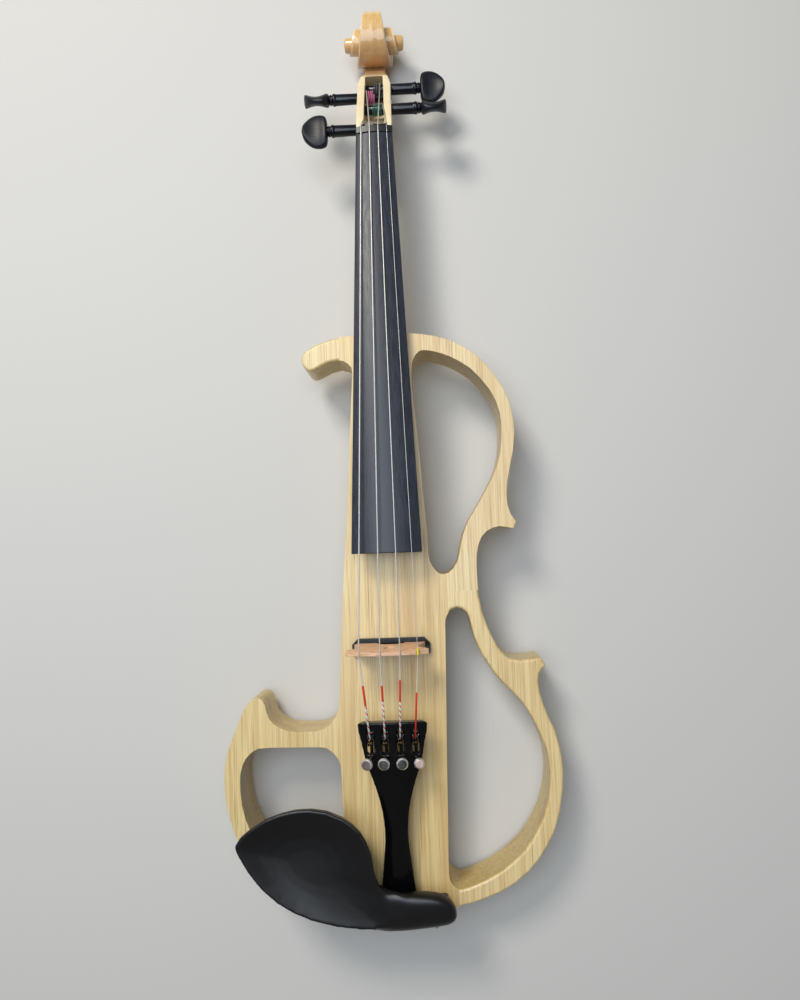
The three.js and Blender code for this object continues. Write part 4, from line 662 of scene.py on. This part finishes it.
def make_peg(string, side, lies_flat):
    head = peg_head()
    if side < 0:
        bmesh.ops.rotate(head, verts=head.verts, cent=(0, 0, 0), matrix=Matrix.Rotation(math.pi, 3, "Z"))
    if not lies_flat:
        turn = Matrix.Rotation(math.radians(EDGE_ON), 3, "X")
        bmesh.ops.rotate(head, verts=head.verts, cent=(0, 0, 0), matrix=turn)
    centre = pivot_of["peg_" + string + "_body"]
    bmesh.ops.translate(head, verts=head.verts, vec=centre)
    tip = PEG_TIP[string]
    shank = [(0, -tip), (2.2, -tip + 0.05), (2.8, -tip + 0.3), (3.05, -tip + 0.8)] + SHANK
    for face in head.faces:
        face.material_index = 1
    bm = together(turned(shank, centre, (side, 0, 0), 40), head)
    return hand_over("peg_" + string + "_turned", bm, [shank_black, head_black], ["peg_" + string], 50)


for string, side, flat in (("g", -1, True), ("d", -1, False), ("a", 1, True), ("e", 1, False)):
    peg = make_peg(string, side, flat)
    print(peg.name, len(peg.data.polygons), "faces")

# %% [markdown]
# ## Strings and their silk
# Steel strings shine in a thin line. At each end a coloured silk wrapping marks the note: plain red beside
# the bridge, and on three of them a red thread spiralling over white nearer the tailpiece. Silk on the pegs
# is pink on one string and green on another. The strings keep their solids' path, and swell a little where
# the silk is. Their finish changes with the distance along the violin, so one material per string paints
# metal, red and spiral.

# %% String finishes
GROOVE_MM, SPIRAL_MM = 0.35, 3.9
SLANT = (1.7, 1.0, 0.6)  # the thread climbs across the string as well as along it
RED_SILK, RED_THREAD, WHITE_SILK = "d6362a", "cf2a22", "f9f7f3"


def make_string_finish(name, red_from, red_to):
    finish, tree, shader, place = start_finish(name)
    along = add(tree, "SeparateXYZ", Vector=place).outputs["Y"]
    grooves = add(tree, "TexWave", {"bands_direction": "Y"}, Vector=place, Scale=1 / (GROOVE_MM * MM) / 6.283,
                  Distortion=0.0).outputs["Fac"]
    # the metal is painted darker in the grooves between turns and paler on their crowns: painted shade and
    # highlight
    metal = ramp(tree, grooves, (0.2, "c9c7c2"), (0.8, "f6f4ef"))
    slanted = add(tree, "VectorMath", {"operation": "DOT_PRODUCT"}, i0=place, i1=SLANT).outputs["Value"]
    phase = maths(tree, "FRACT", maths(tree, "MULTIPLY", slanted, 1 / (SPIRAL_MM * MM)))
    thread = ramp(tree, phase, (0.0, WHITE_SILK), (0.66, WHITE_SILK), (0.71, RED_THREAD), (0.95, RED_THREAD),
                  (1.0, WHITE_SILK))
    in_red = maths(tree, "LESS_THAN", along, red_from * MM)
    in_spiral = maths(tree, "LESS_THAN", along, red_to * MM)
    colour = mixed(tree, in_spiral, mixed(tree, in_red, metal, tint(RED_SILK)), thread)
    dress(tree, shader, Base_Color=colour, Metallic=ramp(tree, in_red, (0.0, 0.7), (1.0, 0.0)),
          Roughness=ramp(tree, in_red, (0.0, 0.42), (1.0, 0.7)))
    bumped(tree, shader, grooves, 0.02, 0.6)
    return finish


def make_silk(name, light, dark):
    finish, tree, shader, place = start_finish(name)
    threads = noise(tree, stretched(tree, place, (1, 0.2, 0.2)), 0.5, 2.0, 0.6)
    dress(tree, shader, Base_Color=ramp(tree, threads, (0.35, dark), (0.65, light)), Roughness=0.65,
          Sheen_Weight=0.3)
    bumped(tree, shader, threads, 0.08, 0.6)
    return finish


# %% The four strings
SILK_FROM = {"g": -18.4, "d": -18.4, "a": -15.4, "e": -23.5}  # along Y, towards the tail
SPIRAL_FROM = {"g": -30.8, "d": -28.2, "a": -28.6, "e": -80.0}  # past the tail end of the e string: none
SILK_THICK = {"g": 0.26, "d": 0.26, "a": 0.26, "e": 0.4}
SILK_STEP = 0.5  # the silk reaches its thickness over this length
STRING_KIND = {"g": "wound string, G", "d": "wound string, D", "a": "wound string, A", "e": "plain string, E"}
string_looks = {string: make_string_finish(kind, SILK_FROM[string], SPIRAL_FROM[string])
                for string, kind in STRING_KIND.items()}
steel_turns = make_string_finish("wound string on its peg", -500.0, -600.0)  # no silk so far from the tail
winding_looks = {"g": steel_turns, "d": make_silk("pink silk", "e77ba6", "b2446f"),
                 "a": make_silk("dark silk", "3b3f49", "1d1f25"),
                 "e": make_silk("green silk", "2f8f76", "12503f")}
for string in "gdae":
    bm = copied("string_" + string)
    for cut in (SILK_FROM[string], SILK_FROM[string] - SILK_STEP):
        bmesh.ops.bisect_plane(bm, geom=bm.verts[:] + bm.edges[:] + bm.faces[:], plane_co=(0, cut * MM, 0),
                               plane_no=(0, 1, 0))
    bm.normal_update()
    wrapped_from = (SILK_FROM[string] - SILK_STEP / 2) * MM
    wrapped = [(v, v.normal.copy()) for v in bm.verts if v.co.y < wrapped_from]
    for v, outwards in wrapped:
        v.co += Vector((outwards.x, 0, outwards.z)) * SILK_THICK[string] * MM
    line = hand_over("string_" + string + "_wound", bm, string_looks[string], ["string_" + string], 80)
    coil = softened("winding_" + string, winding_looks[string], 0, 0, 35, 80)
    print(line.name, coil.name)

# %% [markdown]
# ## The bridge
# The bridge is unlacquered maple, cut on the quarter so that its face shows fine pinkish lines with darker
# flecks. Its solid has the feet, the arch and the cut-outs already, so a small rounding of the knife-cut
# edges is enough. The flecks lie along X, which is how the sheet of wood is turned on a real bridge.

# %% Bridge wood and bridge
def make_bridge_wood():
    finish, tree, shader, place = start_finish("bare quarter-cut maple")
    layers = noise(tree, stretched(tree, place, (0.1, 1, 1)), 1.1, 3.0, 0.6)
    colour = ramp(tree, layers, (0.32, "ecc4a0"), (0.68, "d7a581"))
    flecks = noise(tree, stretched(tree, place, (0.2, 1, 1)), 0.9, 1.0, 0.5)
    colour = mixed(tree, ramp(tree, flecks, (0.6, 0.0), (0.69, 0.6)), colour, tint("8c5a3f"))
    dress(tree, shader, Base_Color=colour, Roughness=0.5, Coat_Weight=0.15, Coat_Roughness=0.3)
    bumped(tree, shader, layers, 0.04, 0.5)
    return finish


bridge_wood = make_bridge_wood()
print(softened("bridge", bridge_wood, 0.3, 3).name)

# %% [markdown]
# ## Black and metal finishes
# Four different blacks meet near the bridge. The tailpiece and the pickup bar are polished plastic, which
# mirrors the lamps. The chin rest is moulded with a fine satin texture, the levers are lacquered metal and
# the wires wear soft vinyl. Plated nickel is bright with faint tool marks. On the tuners' heads a brighter
# nickel is a painted highlight on the rims, and greyer or rosier nickel a painted reflection on the faces.
# The brass balls at the strings' ends are coloured dark brown.

# %% Black plastics
def make_plastic(name, dark, light, rough, grit_mm, bump_mm, specular=0.5):
    finish, tree, shader, place = start_finish(name)
    cloud = noise(tree, place, 9.0, 2.0)
    grit = noise(tree, place, grit_mm, 2.0, 0.6)
    dress(tree, shader, Base_Color=ramp(tree, cloud, (0.3, dark), (0.7, light)), Specular_IOR_Level=specular,
          Roughness=ramp(tree, grit, (0.3, rough - 0.05), (0.7, rough + 0.05)))
    bumped(tree, shader, grit, bump_mm, 0.5)
    return finish


polished_black = make_plastic("polished black plastic", "040406", "070709", 0.22, 3.0, 0.03, 0.3)
satin_black = make_plastic("satin moulded black", "030306", "06070b", 0.38, 0.35, 0.03, 0.6)
lever_black = make_plastic("lacquered lever", "101113", "1a1b1e", 0.3, 0.8, 0.01)
vinyl = make_plastic("black vinyl lead", "141416", "1e1e21", 0.5, 0.6, 0.02)
nylon = make_plastic("black nylon gut", "101012", "1c1c1f", 0.35, 0.5, 0.02)
sleeve_yellow = make_plastic("yellow soft sleeve", "d8c11e", "efd940", 0.4, 0.4, 0.01)
print("plastics ready")


# %% Metals
def make_metal(name, bright, dull, rough, mark_mm, mark_axes=(1, 1, 1)):
    finish, tree, shader, place = start_finish(name)
    haze = noise(tree, place, 5.0, 3.0, 0.6)
    marks = noise(tree, stretched(tree, place, mark_axes), mark_mm, 2.0, 0.6)
    dress(tree, shader, Base_Color=ramp(tree, haze, (0.35, dull), (0.65, bright)), Metallic=1.0,
          Roughness=ramp(tree, marks, (0.3, rough - 0.06), (0.7, rough + 0.08)))
    bumped(tree, shader, marks, 0.005, 0.5)
    return finish


nickel = make_metal("plated nickel", "d6d2ca", "b9b5ad", 0.22, 0.4)
# a painted highlight for the screws' rims, then three painted reflections for their faces
nickel_painted_rim_highlight = make_metal("nickel, painted rim highlight", "fbf9f5", "ece9e3", 0.36, 0.4)
nickel_painted_dull_reflection = make_metal("nickel, painted dull reflection", "9a8a84", "7c6e69", 0.45, 0.4)
nickel_painted_dark_reflection = make_metal("nickel, painted dark reflection", "6a6863", "474843", 0.45, 0.4)
nickel_painted_rosy_reflection = make_metal("nickel, painted rosy reflection", "fbe4dc", "e0c3bb", 0.45, 0.4)
axle_steel = make_metal("ground steel", "b8b7b3", "979692", 0.25, 0.3, (0.1, 1, 1))
brass = make_metal("turned brass", "d9b25a", "b08a3c", 0.26, 0.3, (1, 0.2, 1))
# the ball ends are given a dark brown brass colour
dark_brown_brass = make_metal("dark brown brass", "4a3f2e", "27221b", 0.4, 0.3, (1, 0.2, 1))
print("metals ready")

# %% [markdown]
# ## Pickup, lead and sleeve
# The bridge stands on a black bar that carries a strip sensor. A lead goes from it through the body to the
# circuit board. A short yellow sleeve guards the bridge's edge from the thinnest string.

# %% Pickup bar, strip, lead and sleeve
BAR_REAR = -4.2  # the bar's rear edge stands under the leaning bridge
bm = merged_copy("pickup_bar")
for v in bm.verts:
    v.co.y = max(v.co.y, BAR_REAR * MM)
pickup_pieces = [
    hand_over("pickup_bar_planed", round_over(bm, sharp_edges(bm), 0.5, 3), polished_black, ["pickup_bar"],
              flat_faces=True),
    softened("piezo_strip", brass, 0.12, 2),
    softened("pickup_lead", vinyl, 0, 0, 35, 80),
    softened("e_string_sleeve", sleeve_yellow, 0.12, 2, 60, 50),
]
print([piece.name for piece in pickup_pieces])

# %% [markdown]
# ## Tailpiece
# The tailpiece is a moulded saddle-backed bar, wide and flat where the tuners sit and waisted further down.
# Its solid is planed in flat strips. Sanding a voxel copy gives the real one's soft back and rounded slots.
# Small square parts would melt in the sanding, so they go in after it: a web across each slot and a rail
# along each of its sides.

# %% Tailpiece, axle, gut and end button
TUNER_ACROSS = {"g": -13.35, "d": -4.45, "a": 4.45, "e": 13.35}
WEB = (-2.4, -48.1, 42.9), (2.4, -45.0, 44.1)  # two corners, as seen from a tuner's middle
RAIL = (-0.5, -55.5, 41.2), (0.5, -45.0, 42.5)
RAIL_ASIDE = 2.0


def moved_across(corners, x):
    return block(*((x + corner[0], *corner[1:]) for corner in corners), 0)


small_parts = [moved_across(WEB, x) for x in TUNER_ACROSS.values()]
for x in TUNER_ACROSS.values():
    small_parts += [moved_across(RAIL, x + side) for side in (-RAIL_ASIDE, RAIL_ASIDE)]
moulded = together(sanded(copied("tailpiece"), 0.45, 7), *small_parts)
tailpiece = hand_over("tailpiece_moulded", moulded, polished_black, ["tailpiece"], 60)
print(tailpiece.name, len(tailpiece.data.polygons), "faces")
BUTTON = [(0, -24), (3.6, -24), (3.9, -23.6), (3.9, 4.2), (6.3, 4.3), (7.5, 4.8), (8.0, 5.9), (8.0, 7.1),
          (7.6, 8.5), (6.5, 9.8), (5.0, 10.8), (4.1, 11.2), (3.7, 11.2), (3.3, 11.5), (2.9, 12.0),
          (1.9, 12.3), (0, 12.3)]
BUTTON_AT = Vector((0, -159.5, 15)) * MM
button = turned(BUTTON, BUTTON_AT, (0, -1, 0), 40)
button = hand_over("end_button_turned", button, fitting_black, ["end_button"], 40)
print(button.name, softened("tuner_axle", axle_steel, 0.12, 2, 50, 60).name)
print(softened("tailgut", nylon, 0, 0, 35, 80).name)

# %% [markdown]
# ## Fine tuners
# A tuner's screw has a flat round head whose milled rim is painted bright as a highlight, and whose face is
# painted with a reflection, greyer, darker or rosier from screw to screw. It pushes one end of a lever, a
# slim arm with a broad fork at its other end, where the string's brass ball end hangs. Each screw is
# turned from one profile, and every second column of its rim is drawn in to mill it. Its faces get one of
# two finishes, by how far they are from the axis. The outer two lean outwards, along their own joints' axes.

# %% Screws, levers and ball ends
def milled(profile, centre, axis, steps, rim_mm, depth=0.03):
    bm = turned(profile, (0, 0, 0), (0, 0, 1), steps)
    for v in bm.verts:
        reach = math.hypot(v.co.x, v.co.y)
        column = round(math.atan2(v.co.y, v.co.x) / (2 * math.pi) * steps)
        if reach > rim_mm * MM and column % 2:
            v.co.x *= 1 - depth
            v.co.y *= 1 - depth
    return stood(bm, centre, axis)


joint_of = {joint["child"]: joint for joint in frame["joints"]}
SCREW_Y, SCREW_FOOT, SCREW_TOP = -64.4, 40.4, 55.0
SCREW_FACE_REFLECTIONS = {"g": nickel_painted_dull_reflection, "d": nickel_painted_dark_reflection, "a": nickel_painted_dark_reflection, "e": nickel_painted_rosy_reflection}
SCREW_RIM = {"g": 3.45, "d": 3.5, "a": 3.5, "e": 3.1}
FORK_OVER, FORK_WIDER = 42.0, 1.45  # the lever is this much wider over that height
ARM_BEHIND, ARM_SLIMMER = -51.5, 0.7
BALL = [(0, -1.5), (1.3, -1.5), (1.68, -1.2), (1.68, -0.7), (1.25, -0.45), (1.25, 0.45), (1.68, 0.7),
        (1.68, 1.2), (1.3, 1.5), (0, 1.5)]
for string, across in TUNER_ACROSS.items():
    body = "tuner_screw_" + string + "_body"
    up = -Vector(joint_of[body]["axis"])
    long = (SCREW_TOP - SCREW_FOOT) / up.z
    rim = SCREW_RIM[string]
    head = [(1.1, long - 2.9), (2.3, long - 2.75), (rim - 0.7, long - 2.7), (rim, long - 2.1),
            (rim, long - 0.75), (rim - 0.7, long - 0.02), (rim - 0.78, long), (1.95, long),
            (1.85, long - 0.13), (1.6, long - 0.13), (1.5, long), (0, long)]
    foot = Vector((across, SCREW_Y, SCREW_FOOT)) * MM
    screw = milled([(0, 0), (0.7, 0), (1.1, 0.5)] + head, foot, up, 56, rim - 0.2)
    face_at = foot + up * (long - 0.4) * MM
    for face in screw.faces:
        middle = face.calc_center_median() - face_at
        on_top = middle.dot(up) > 0 and (middle - up * middle.dot(up)).length < (rim - 0.75) * MM
        face.material_index = int(on_top)
    # the rim gets the painted highlight, the face this screw's painted reflection
    looks = [nickel_painted_rim_highlight, SCREW_FACE_REFLECTIONS[string]]
    screw = hand_over("tuner_screw_" + string + "_milled", screw, looks, ["tuner_screw_" + string], 25)
    low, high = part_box("ball_end_" + string)
    ball = turned(BALL, (low + high) / 2, (1, 0, 0), 24)
    ball = hand_over("ball_end_" + string + "_turned", ball, dark_brown_brass, ["ball_end_" + string])
    bm = merged_copy("tuner_lever_" + string)
    for v in bm.verts:
        wide = FORK_WIDER if v.co.z > FORK_OVER * MM else ARM_SLIMMER if v.co.y < ARM_BEHIND * MM else 1.0
        v.co.x = across * MM + (v.co.x - across * MM) * wide
    round_over(bm, sharp_edges(bm), 0.25, 2)
    lever = hand_over("tuner_lever_" + string + "_pressed", bm, lever_black, ["tuner_lever_" + string])
    print(screw.name, lever.name, ball.name)

# %% [markdown]
# ## Chin rest
# The chin rest is a dished cup with a raised rim that flows into an arm over the tail. One wide, soft
# surface is what a voxel copy with many smoothing passes gives. A subdivision surface would need a clean
# cage of quads first. The arm's front edge runs straight across the tailpiece, where the solid's edge falls
# back, so it is pushed forward there. The right side and the arm get more passes than the left.

# %% Chin rest
ARM_PUSH, ARM_MIDDLE, ARM_SPREAD = 3.8, 0.5, 6.5
SOFT_RIGHT_OF, SOFT_OVER, SOFT_PASSES = -14, 42, 45


def eased(value, start, end):
    share = min(max((value - start) / (end - start), 0.0), 1.0)
    return share * share * (3 - 2 * share)


bm = sanded(copied("chin_rest"), 0.6, 18)
for v in bm.verts:
    x, y, z = v.co / MM
    push = ARM_PUSH * MM * math.exp(-((x - ARM_MIDDLE) / ARM_SPREAD) ** 2)
    v.co.y += push * eased(z, 44.5, 49.0) * eased(y, -153.0, -146.0)
upper = [v for v in bm.verts if v.co.x > SOFT_RIGHT_OF * MM and v.co.z > SOFT_OVER * MM]
for _ in range(SOFT_PASSES):
    bmesh.ops.smooth_vert(bm, verts=upper, factor=0.5, use_axis_x=True, use_axis_y=True, use_axis_z=True)
chin_rest = hand_over("chin_rest_moulded", bm, satin_black, ["chin_rest"], 70)
print(chin_rest.name, len(chin_rest.data.polygons), "faces")

# %% [markdown]
# ## Corks
# Thin sheets of cork keep the rest and its clamp off the wood. Cork is made of cells, so a Voronoi pattern
# gives each grain its own tone, and noise adds the dark pits between them.

# %% Cork and its three sheets
CORK_BACK = 1.2  # the front edge of each sheet stands back this far


def make_cork():
    finish, tree, shader, place = start_finish("sheet cork")
    grains = add(tree, "TexVoronoi", Vector=place, Scale=1 / (1.1 * MM)).outputs["Color"]
    tone = add(tree, "SeparateColor", Color=grains).outputs["Red"]
    colour = ramp(tree, tone, (0.1, "8d5f38"), (0.5, "b98a58"), (0.9, "cfa571"))
    pits = noise(tree, place, 0.9, 2.0, 0.6)
    colour = mixed(tree, ramp(tree, pits, (0.6, 0.0), (0.68, 0.8)), colour, tint("4c3220"))
    dress(tree, shader, Base_Color=colour, Roughness=0.85)
    bumped(tree, shader, pits, 0.15, 0.7)
    return finish


cork = make_cork()
for node in ("cork_bass", "cork_treble", "clamp_foot_cork"):
    bm = merged_copy(node)
    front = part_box(node)[1].y - CORK_BACK * MM
    for v in bm.verts:
        v.co.y = min(v.co.y, front)
    print(hand_over(node + "_cut", round_over(bm, sharp_edges(bm), 0.35, 2), cork, [node]).name)

# %% [markdown]
# ## The chin rest's clamp
# Two rods bend down behind the tail, each with a barrel that a key turns. A lower foot is drawn up against
# the back. The rods are really bent from wire, so a circle is extruded along the straight runs and spun
# round the inside of each bend. A curve with a bevel would do the same, but its corners are harder to keep
# round.

# %% A rod bent from wire
def bent_rod(dots, radius_mm, bend_mm, sides=20):
    dots = [Vector(dot) * MM for dot in dots]
    bm = bmesh.new()
    heading = (dots[1] - dots[0]).normalized()
    bmesh.ops.create_circle(bm, cap_ends=True, segments=sides, radius=radius_mm * MM)
    bmesh.ops.rotate(bm, verts=bm.verts, cent=(0, 0, 0), matrix=heading.to_track_quat("Z", "X").to_matrix())
    bmesh.ops.translate(bm, verts=bm.verts, vec=dots[0])
    front = bm.edges[:]
    at = dots[0]
    for here, after in zip(dots[1:], dots[2:] + [None]):
        onward = (after - here).normalized() if after else heading
        angle = heading.angle(onward) if after else 0.0
        back_off = bend_mm * MM * math.tan(angle / 2)
        end = here - heading * back_off
        front, moved = drawn_out(bm, front)
        bmesh.ops.translate(bm, verts=moved, vec=end - at)
        at = end
        if angle > 0.01:
            axis = heading.cross(onward).normalized()
            centre = end + axis.cross(heading) * bend_mm * MM
            spun = bmesh.ops.spin(bm, geom=front, axis=axis, cent=centre, angle=angle, steps=8)["geom_last"]
            front = [item for item in spun if isinstance(item, bmesh.types.BMEdge)]
            at = here + onward * back_off
        heading = onward
    bmesh.ops.contextual_create(bm, geom=front)
    bmesh.ops.remove_doubles(bm, verts=bm.verts, dist=0.001 * MM)
    bmesh.ops.recalc_face_normals(bm, faces=bm.faces)
    return bm


print("wire bender ready")

# %% Clamp
ROD, BEND = 1.5, 2.0  # radius of the wire, and of each bend to the wire's middle
LEG_X, LEG_Y = 22.0, -164.9
ARM_Y, ARM_Z, TURN_Z = -150.5, 41.4, 37.0
treble_leg = [(LEG_X, LEG_Y, 17.0), (LEG_X, LEG_Y, TURN_Z), (LEG_X, ARM_Y, TURN_Z), (LEG_X, ARM_Y, ARM_Z)]
bass_leg = [(-x, y, z) for x, y, z in reversed(treble_leg)]
wire = bent_rod(treble_leg + bass_leg, ROD, BEND)
wire = hand_over("clamp_bracket_wire", wire, nickel, ["clamp_bracket"], 50)
PLATE_LOW, PLATE_HIGH = (-27.0, -157.0, -4.5), (27.0, -147.0, -1.5)
LOWER_TOP, LOWER_Z, LOWER_END = 14.5, -3.0, -150.0  # each lower rod comes down, and bends in under the back
lower = [bent_rod([(x, LEG_Y, LOWER_TOP), (x, LEG_Y, LOWER_Z), (x, LOWER_END, LOWER_Z)], ROD, BEND)
         for x in (-LEG_X, LEG_X)]
foot = together(block(PLATE_LOW, PLATE_HIGH, 0.8), *lower)
foot = hand_over("clamp_foot_welded", foot, nickel, ["clamp_foot"], 50)
print(wire.name, foot.name)

# %% [markdown]
# A barrel has a cross hole for its key. Boring is the one job where a Boolean modifier is clearest: a second
# shape is taken away from the first, and the result is made a mesh at once, so that nothing live is left.

# %% Barrels with key holes
def drilled(bm, *drills):
    work = [put_in("work", shape) for shape in (bm, *drills)]
    for drill in work[1:]:
        hole = work[0].modifiers.new("hole", "BOOLEAN")
        hole.operation = "DIFFERENCE"
        hole.object = drill
    bored = as_built(work[0])
    for thing in work:
        bpy.data.objects.remove(thing)
    return bored


BARREL = [(1.7, -7.5), (2.8, -7.5), (3.2, -7.1), (3.2, -5.6), (2.95, -5.4), (3.2, -5.2), (3.2, 5.2),
          (2.95, 5.4), (3.2, 5.6), (3.2, 7.1), (2.8, 7.5), (1.7, 7.5), (1.7, -7.5)]
KEY_HOLE = [(0, -5), (0.95, -5), (0.95, 5), (0, 5)]
for side in ("bass", "treble"):
    centre = pivot_of["clamp_barrel_" + side + "_body"]
    bit = turned(KEY_HOLE, centre, (1, 0, 0), 16)
    barrel = drilled(turned(BARREL, centre, (0, 0, 1), 36), bit)
    barrel = hand_over("clamp_barrel_" + side + "_bored", barrel, nickel, ["clamp_barrel_" + side], 32)
    print(barrel.name, len(barrel.data.polygons), "faces")

# %% [markdown]
# ## The electronics in the back
# A satin black cover closes the pocket in the back. Two thumb wheels stand just under its face, and a small
# door opens over the battery. The output socket comes out of the block's treble side. The photograph can't
# show this side, so everything here is the ordinary form of such parts, without any marks.

# %% Cover, screws and door
COVER_SCREW = [(0, 0), (1.3, 0), (1.8, 0.12), (1.9, 0.35), (1.1, 1.0), (1.1, 7.6), (0.3, 9.0), (0, 9.0)]
CROSS_SLOT = (1.1, 0.22), (0.22, 1.1)  # half sizes of the two slots that make the cross
SLOT_DEEP = 0.45
GRIP_HALF, GRIP_FROM, GRIP_TO, GRIP_STEP, GRIP_DEEP = 6, 3, 3.8, 1.6, 0.35


def underside(node):
    low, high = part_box(node)
    return Vector(((low.x + high.x) / 2, (low.y + high.y) / 2, low.z))


cover = softened("back_cover", satin_black, 0.25, 2)
for node in ("cover_screw_1", "cover_screw_2"):
    centre = underside(node)
    cx, cy, cz = centre / MM
    cross = [block((cx - a, cy - b, cz - 1), (cx + a, cy + b, cz + SLOT_DEEP), 0) for a, b in CROSS_SLOT]
    screw = drilled(turned(COVER_SCREW, centre, (0, 0, 1), 32), *cross)
    print(hand_over(node + "_slotted", screw, nickel, [node], 32).name)
door_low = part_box("battery_door")[0] / MM
grips = [block((-GRIP_HALF, door_low.y + GRIP_FROM + GRIP_STEP * k, -1),
               (GRIP_HALF, door_low.y + GRIP_TO + GRIP_STEP * k, door_low.z + GRIP_DEEP), 0)
         for k in range(4)]
door = drilled(merged_copy("battery_door"), *grips)
print(cover.name, hand_over("battery_door_ribbed", door, satin_black, ["battery_door"], 35).name)

# %% [markdown]
# Under the cover lie a nine-volt block battery with its snap, and a green board with two pots. They are
# seen only when the door is open, and get plain finishes with their real tones.

# %% Battery, snap and board
CAN_ENDS = -0.1305, -0.082  # metres along the violin: the can is brass-coloured near the first


def make_can():
    finish, tree, shader, place = start_finish("battery can, printed steel")
    share = rising(tree, add(tree, "SeparateXYZ", Vector=place).outputs["Y"], *CAN_ENDS)
    colour = ramp(tree, share, (0.0, "b9893f"), (0.3, "b9893f"), (0.31, "1d1e21"), (1.0, "26272b"))
    scuffs = noise(tree, place, 1.5, 3.0, 0.6)
    dress(tree, shader, Base_Color=colour, Metallic=0.5,
          Roughness=ramp(tree, scuffs, (0.35, 0.22), (0.65, 0.36)))
    bumped(tree, shader, scuffs, 0.01, 0.5)
    return finish


def make_circuit():
    finish, tree, shader, place = start_finish("green solder mask")
    cells = add(tree, "TexVoronoi", {"distance": "MANHATTAN"}, Vector=place, Scale=1 / (3.0 * MM))
    lines = ramp(tree, cells.outputs["Distance"], (0.42, 0.0), (0.46, 1.0))
    dress(tree, shader, Base_Color=mixed(tree, lines, tint("1d6b3c"), tint("2c8a50")), Roughness=0.35)
    bumped(tree, shader, lines, 0.03, 0.5)
    return finish


can, circuit = make_can(), make_circuit()
print([softened(node, look, edge, 2).name for node, look, edge in
       (("battery", can, 0.9), ("battery_snap", vinyl, 0.3), ("preamp_board", circuit, 0.12))])

# %% Knobs and output socket
WHEEL = [(0, 0), (6.4, 0), (7.4, 0.35), (8.0, 1.0), (8.0, 9.2), (7.6, 10.0), (3.1, 10.0), (3.1, 3.2),
         (0, 3.2)]
for node in ("volume_knob", "tone_knob"):
    centre = underside(node)
    cx, cy, cz = centre / MM
    mark = block((cx - 0.4, cy + 2.2, cz - 1), (cx + 0.4, cy + 9, cz + 0.6), 0)  # one groove shows its turn
    wheel = drilled(milled(WHEEL, centre, (0, 0, 1), 72, 7.7, 0.04), mark)
    print(hand_over(node + "_milled", wheel, satin_black, [node], 30).name)
JACK_AT = Vector((31.4, -70.5, 11.0)) * MM
SOCKET = [(3.25, 0.2), (3.6, 0), (4.6, 0), (4.9, 0.3), (4.9, 0.9), (7.2, 0.9), (7.4, 1.2), (7.4, 2.0),
          (5.8, 2.0), (5.8, 27.0), (0, 27.0), (0, 25.0), (3.25, 25.0), (3.25, 0.2)]
socket = turned(SOCKET, JACK_AT, (-1, 0, 0), 40)
socket = hand_over("output_jack_turned", socket, nickel, ["output_jack"], 32)
print(socket.name, len(socket.data.polygons), "faces")

# %% [markdown]
# ## Floor and light
# The violin lies on the foot of its chin rest's clamp and on the back of its scroll, so the floor touches
# both and leans a little. A small warm lamp, high up to the left of the scroll, gives the shadows. A wide
# cooler one overhead and a pale world fill them.

# %% Floor, lamps and world
CLEAR = 0.1 * MM  # air between the floor and what lies on it
SCROLL_REST = 0.9  # the scroll rests at this share of the neck's length
low_neck, high_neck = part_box("neck")
low_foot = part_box("clamp_foot")[0]
contact_low = Vector((0, low_foot.y, low_foot.z - CLEAR))
contact_high = Vector((0, low_neck.y + (high_neck.y - low_neck.y) * SCROLL_REST, low_neck.z - CLEAR))
slope = math.atan2(contact_high.z - contact_low.z, contact_high.y - contact_low.y)
bm = bmesh.new()
bmesh.ops.create_grid(bm, x_segments=1, y_segments=1, size=4.0)
bmesh.ops.rotate(bm, verts=bm.verts, cent=(0, 0, 0), matrix=Matrix.Rotation(slope, 3, "X"))
bmesh.ops.translate(bm, verts=bm.verts, vec=contact_low)
floor = put_in("floor", bm)
paint, tree, shader, place = start_finish("pale floor paint")
dress(tree, shader, Base_Color=tint("cfcdca"), Roughness=0.8)
floor.data.materials.append(paint)


def lamp(name, place_m, aim_m, size_m, watts, colour):
    data = bpy.data.lights.new(name, "AREA")
    data.shape = "RECTANGLE"
    data.size, data.size_y = size_m
    data.energy = watts
    data.color = colour
    light = bpy.data.objects.new(name, data)
    light.location = place_m
    light.rotation_euler = (Vector(aim_m) - Vector(place_m)).to_track_quat("-Z", "Y").to_euler()
    bpy.context.scene.collection.objects.link(light)


lamp("window", (-0.5, 0.95, 1.05), (0, 0.15, 0), (0.4, 0.4), 11.5, (1.0, 0.95, 0.86))
lamp("ceiling", (-0.15, 0.25, 1.15), (-0.1, 0.2, 0), (0.8, 0.8), 8.0, (0.8, 0.9, 1.0))
world = bpy.data.worlds.new("studio")
world.use_nodes = True
world.node_tree.nodes["Background"].inputs["Color"].default_value = tint("f1f0ee")
world.node_tree.nodes["Background"].inputs["Strength"].default_value = 0.2
bpy.context.scene.world = world
print("floor leans", round(math.degrees(slope), 2), "degrees")
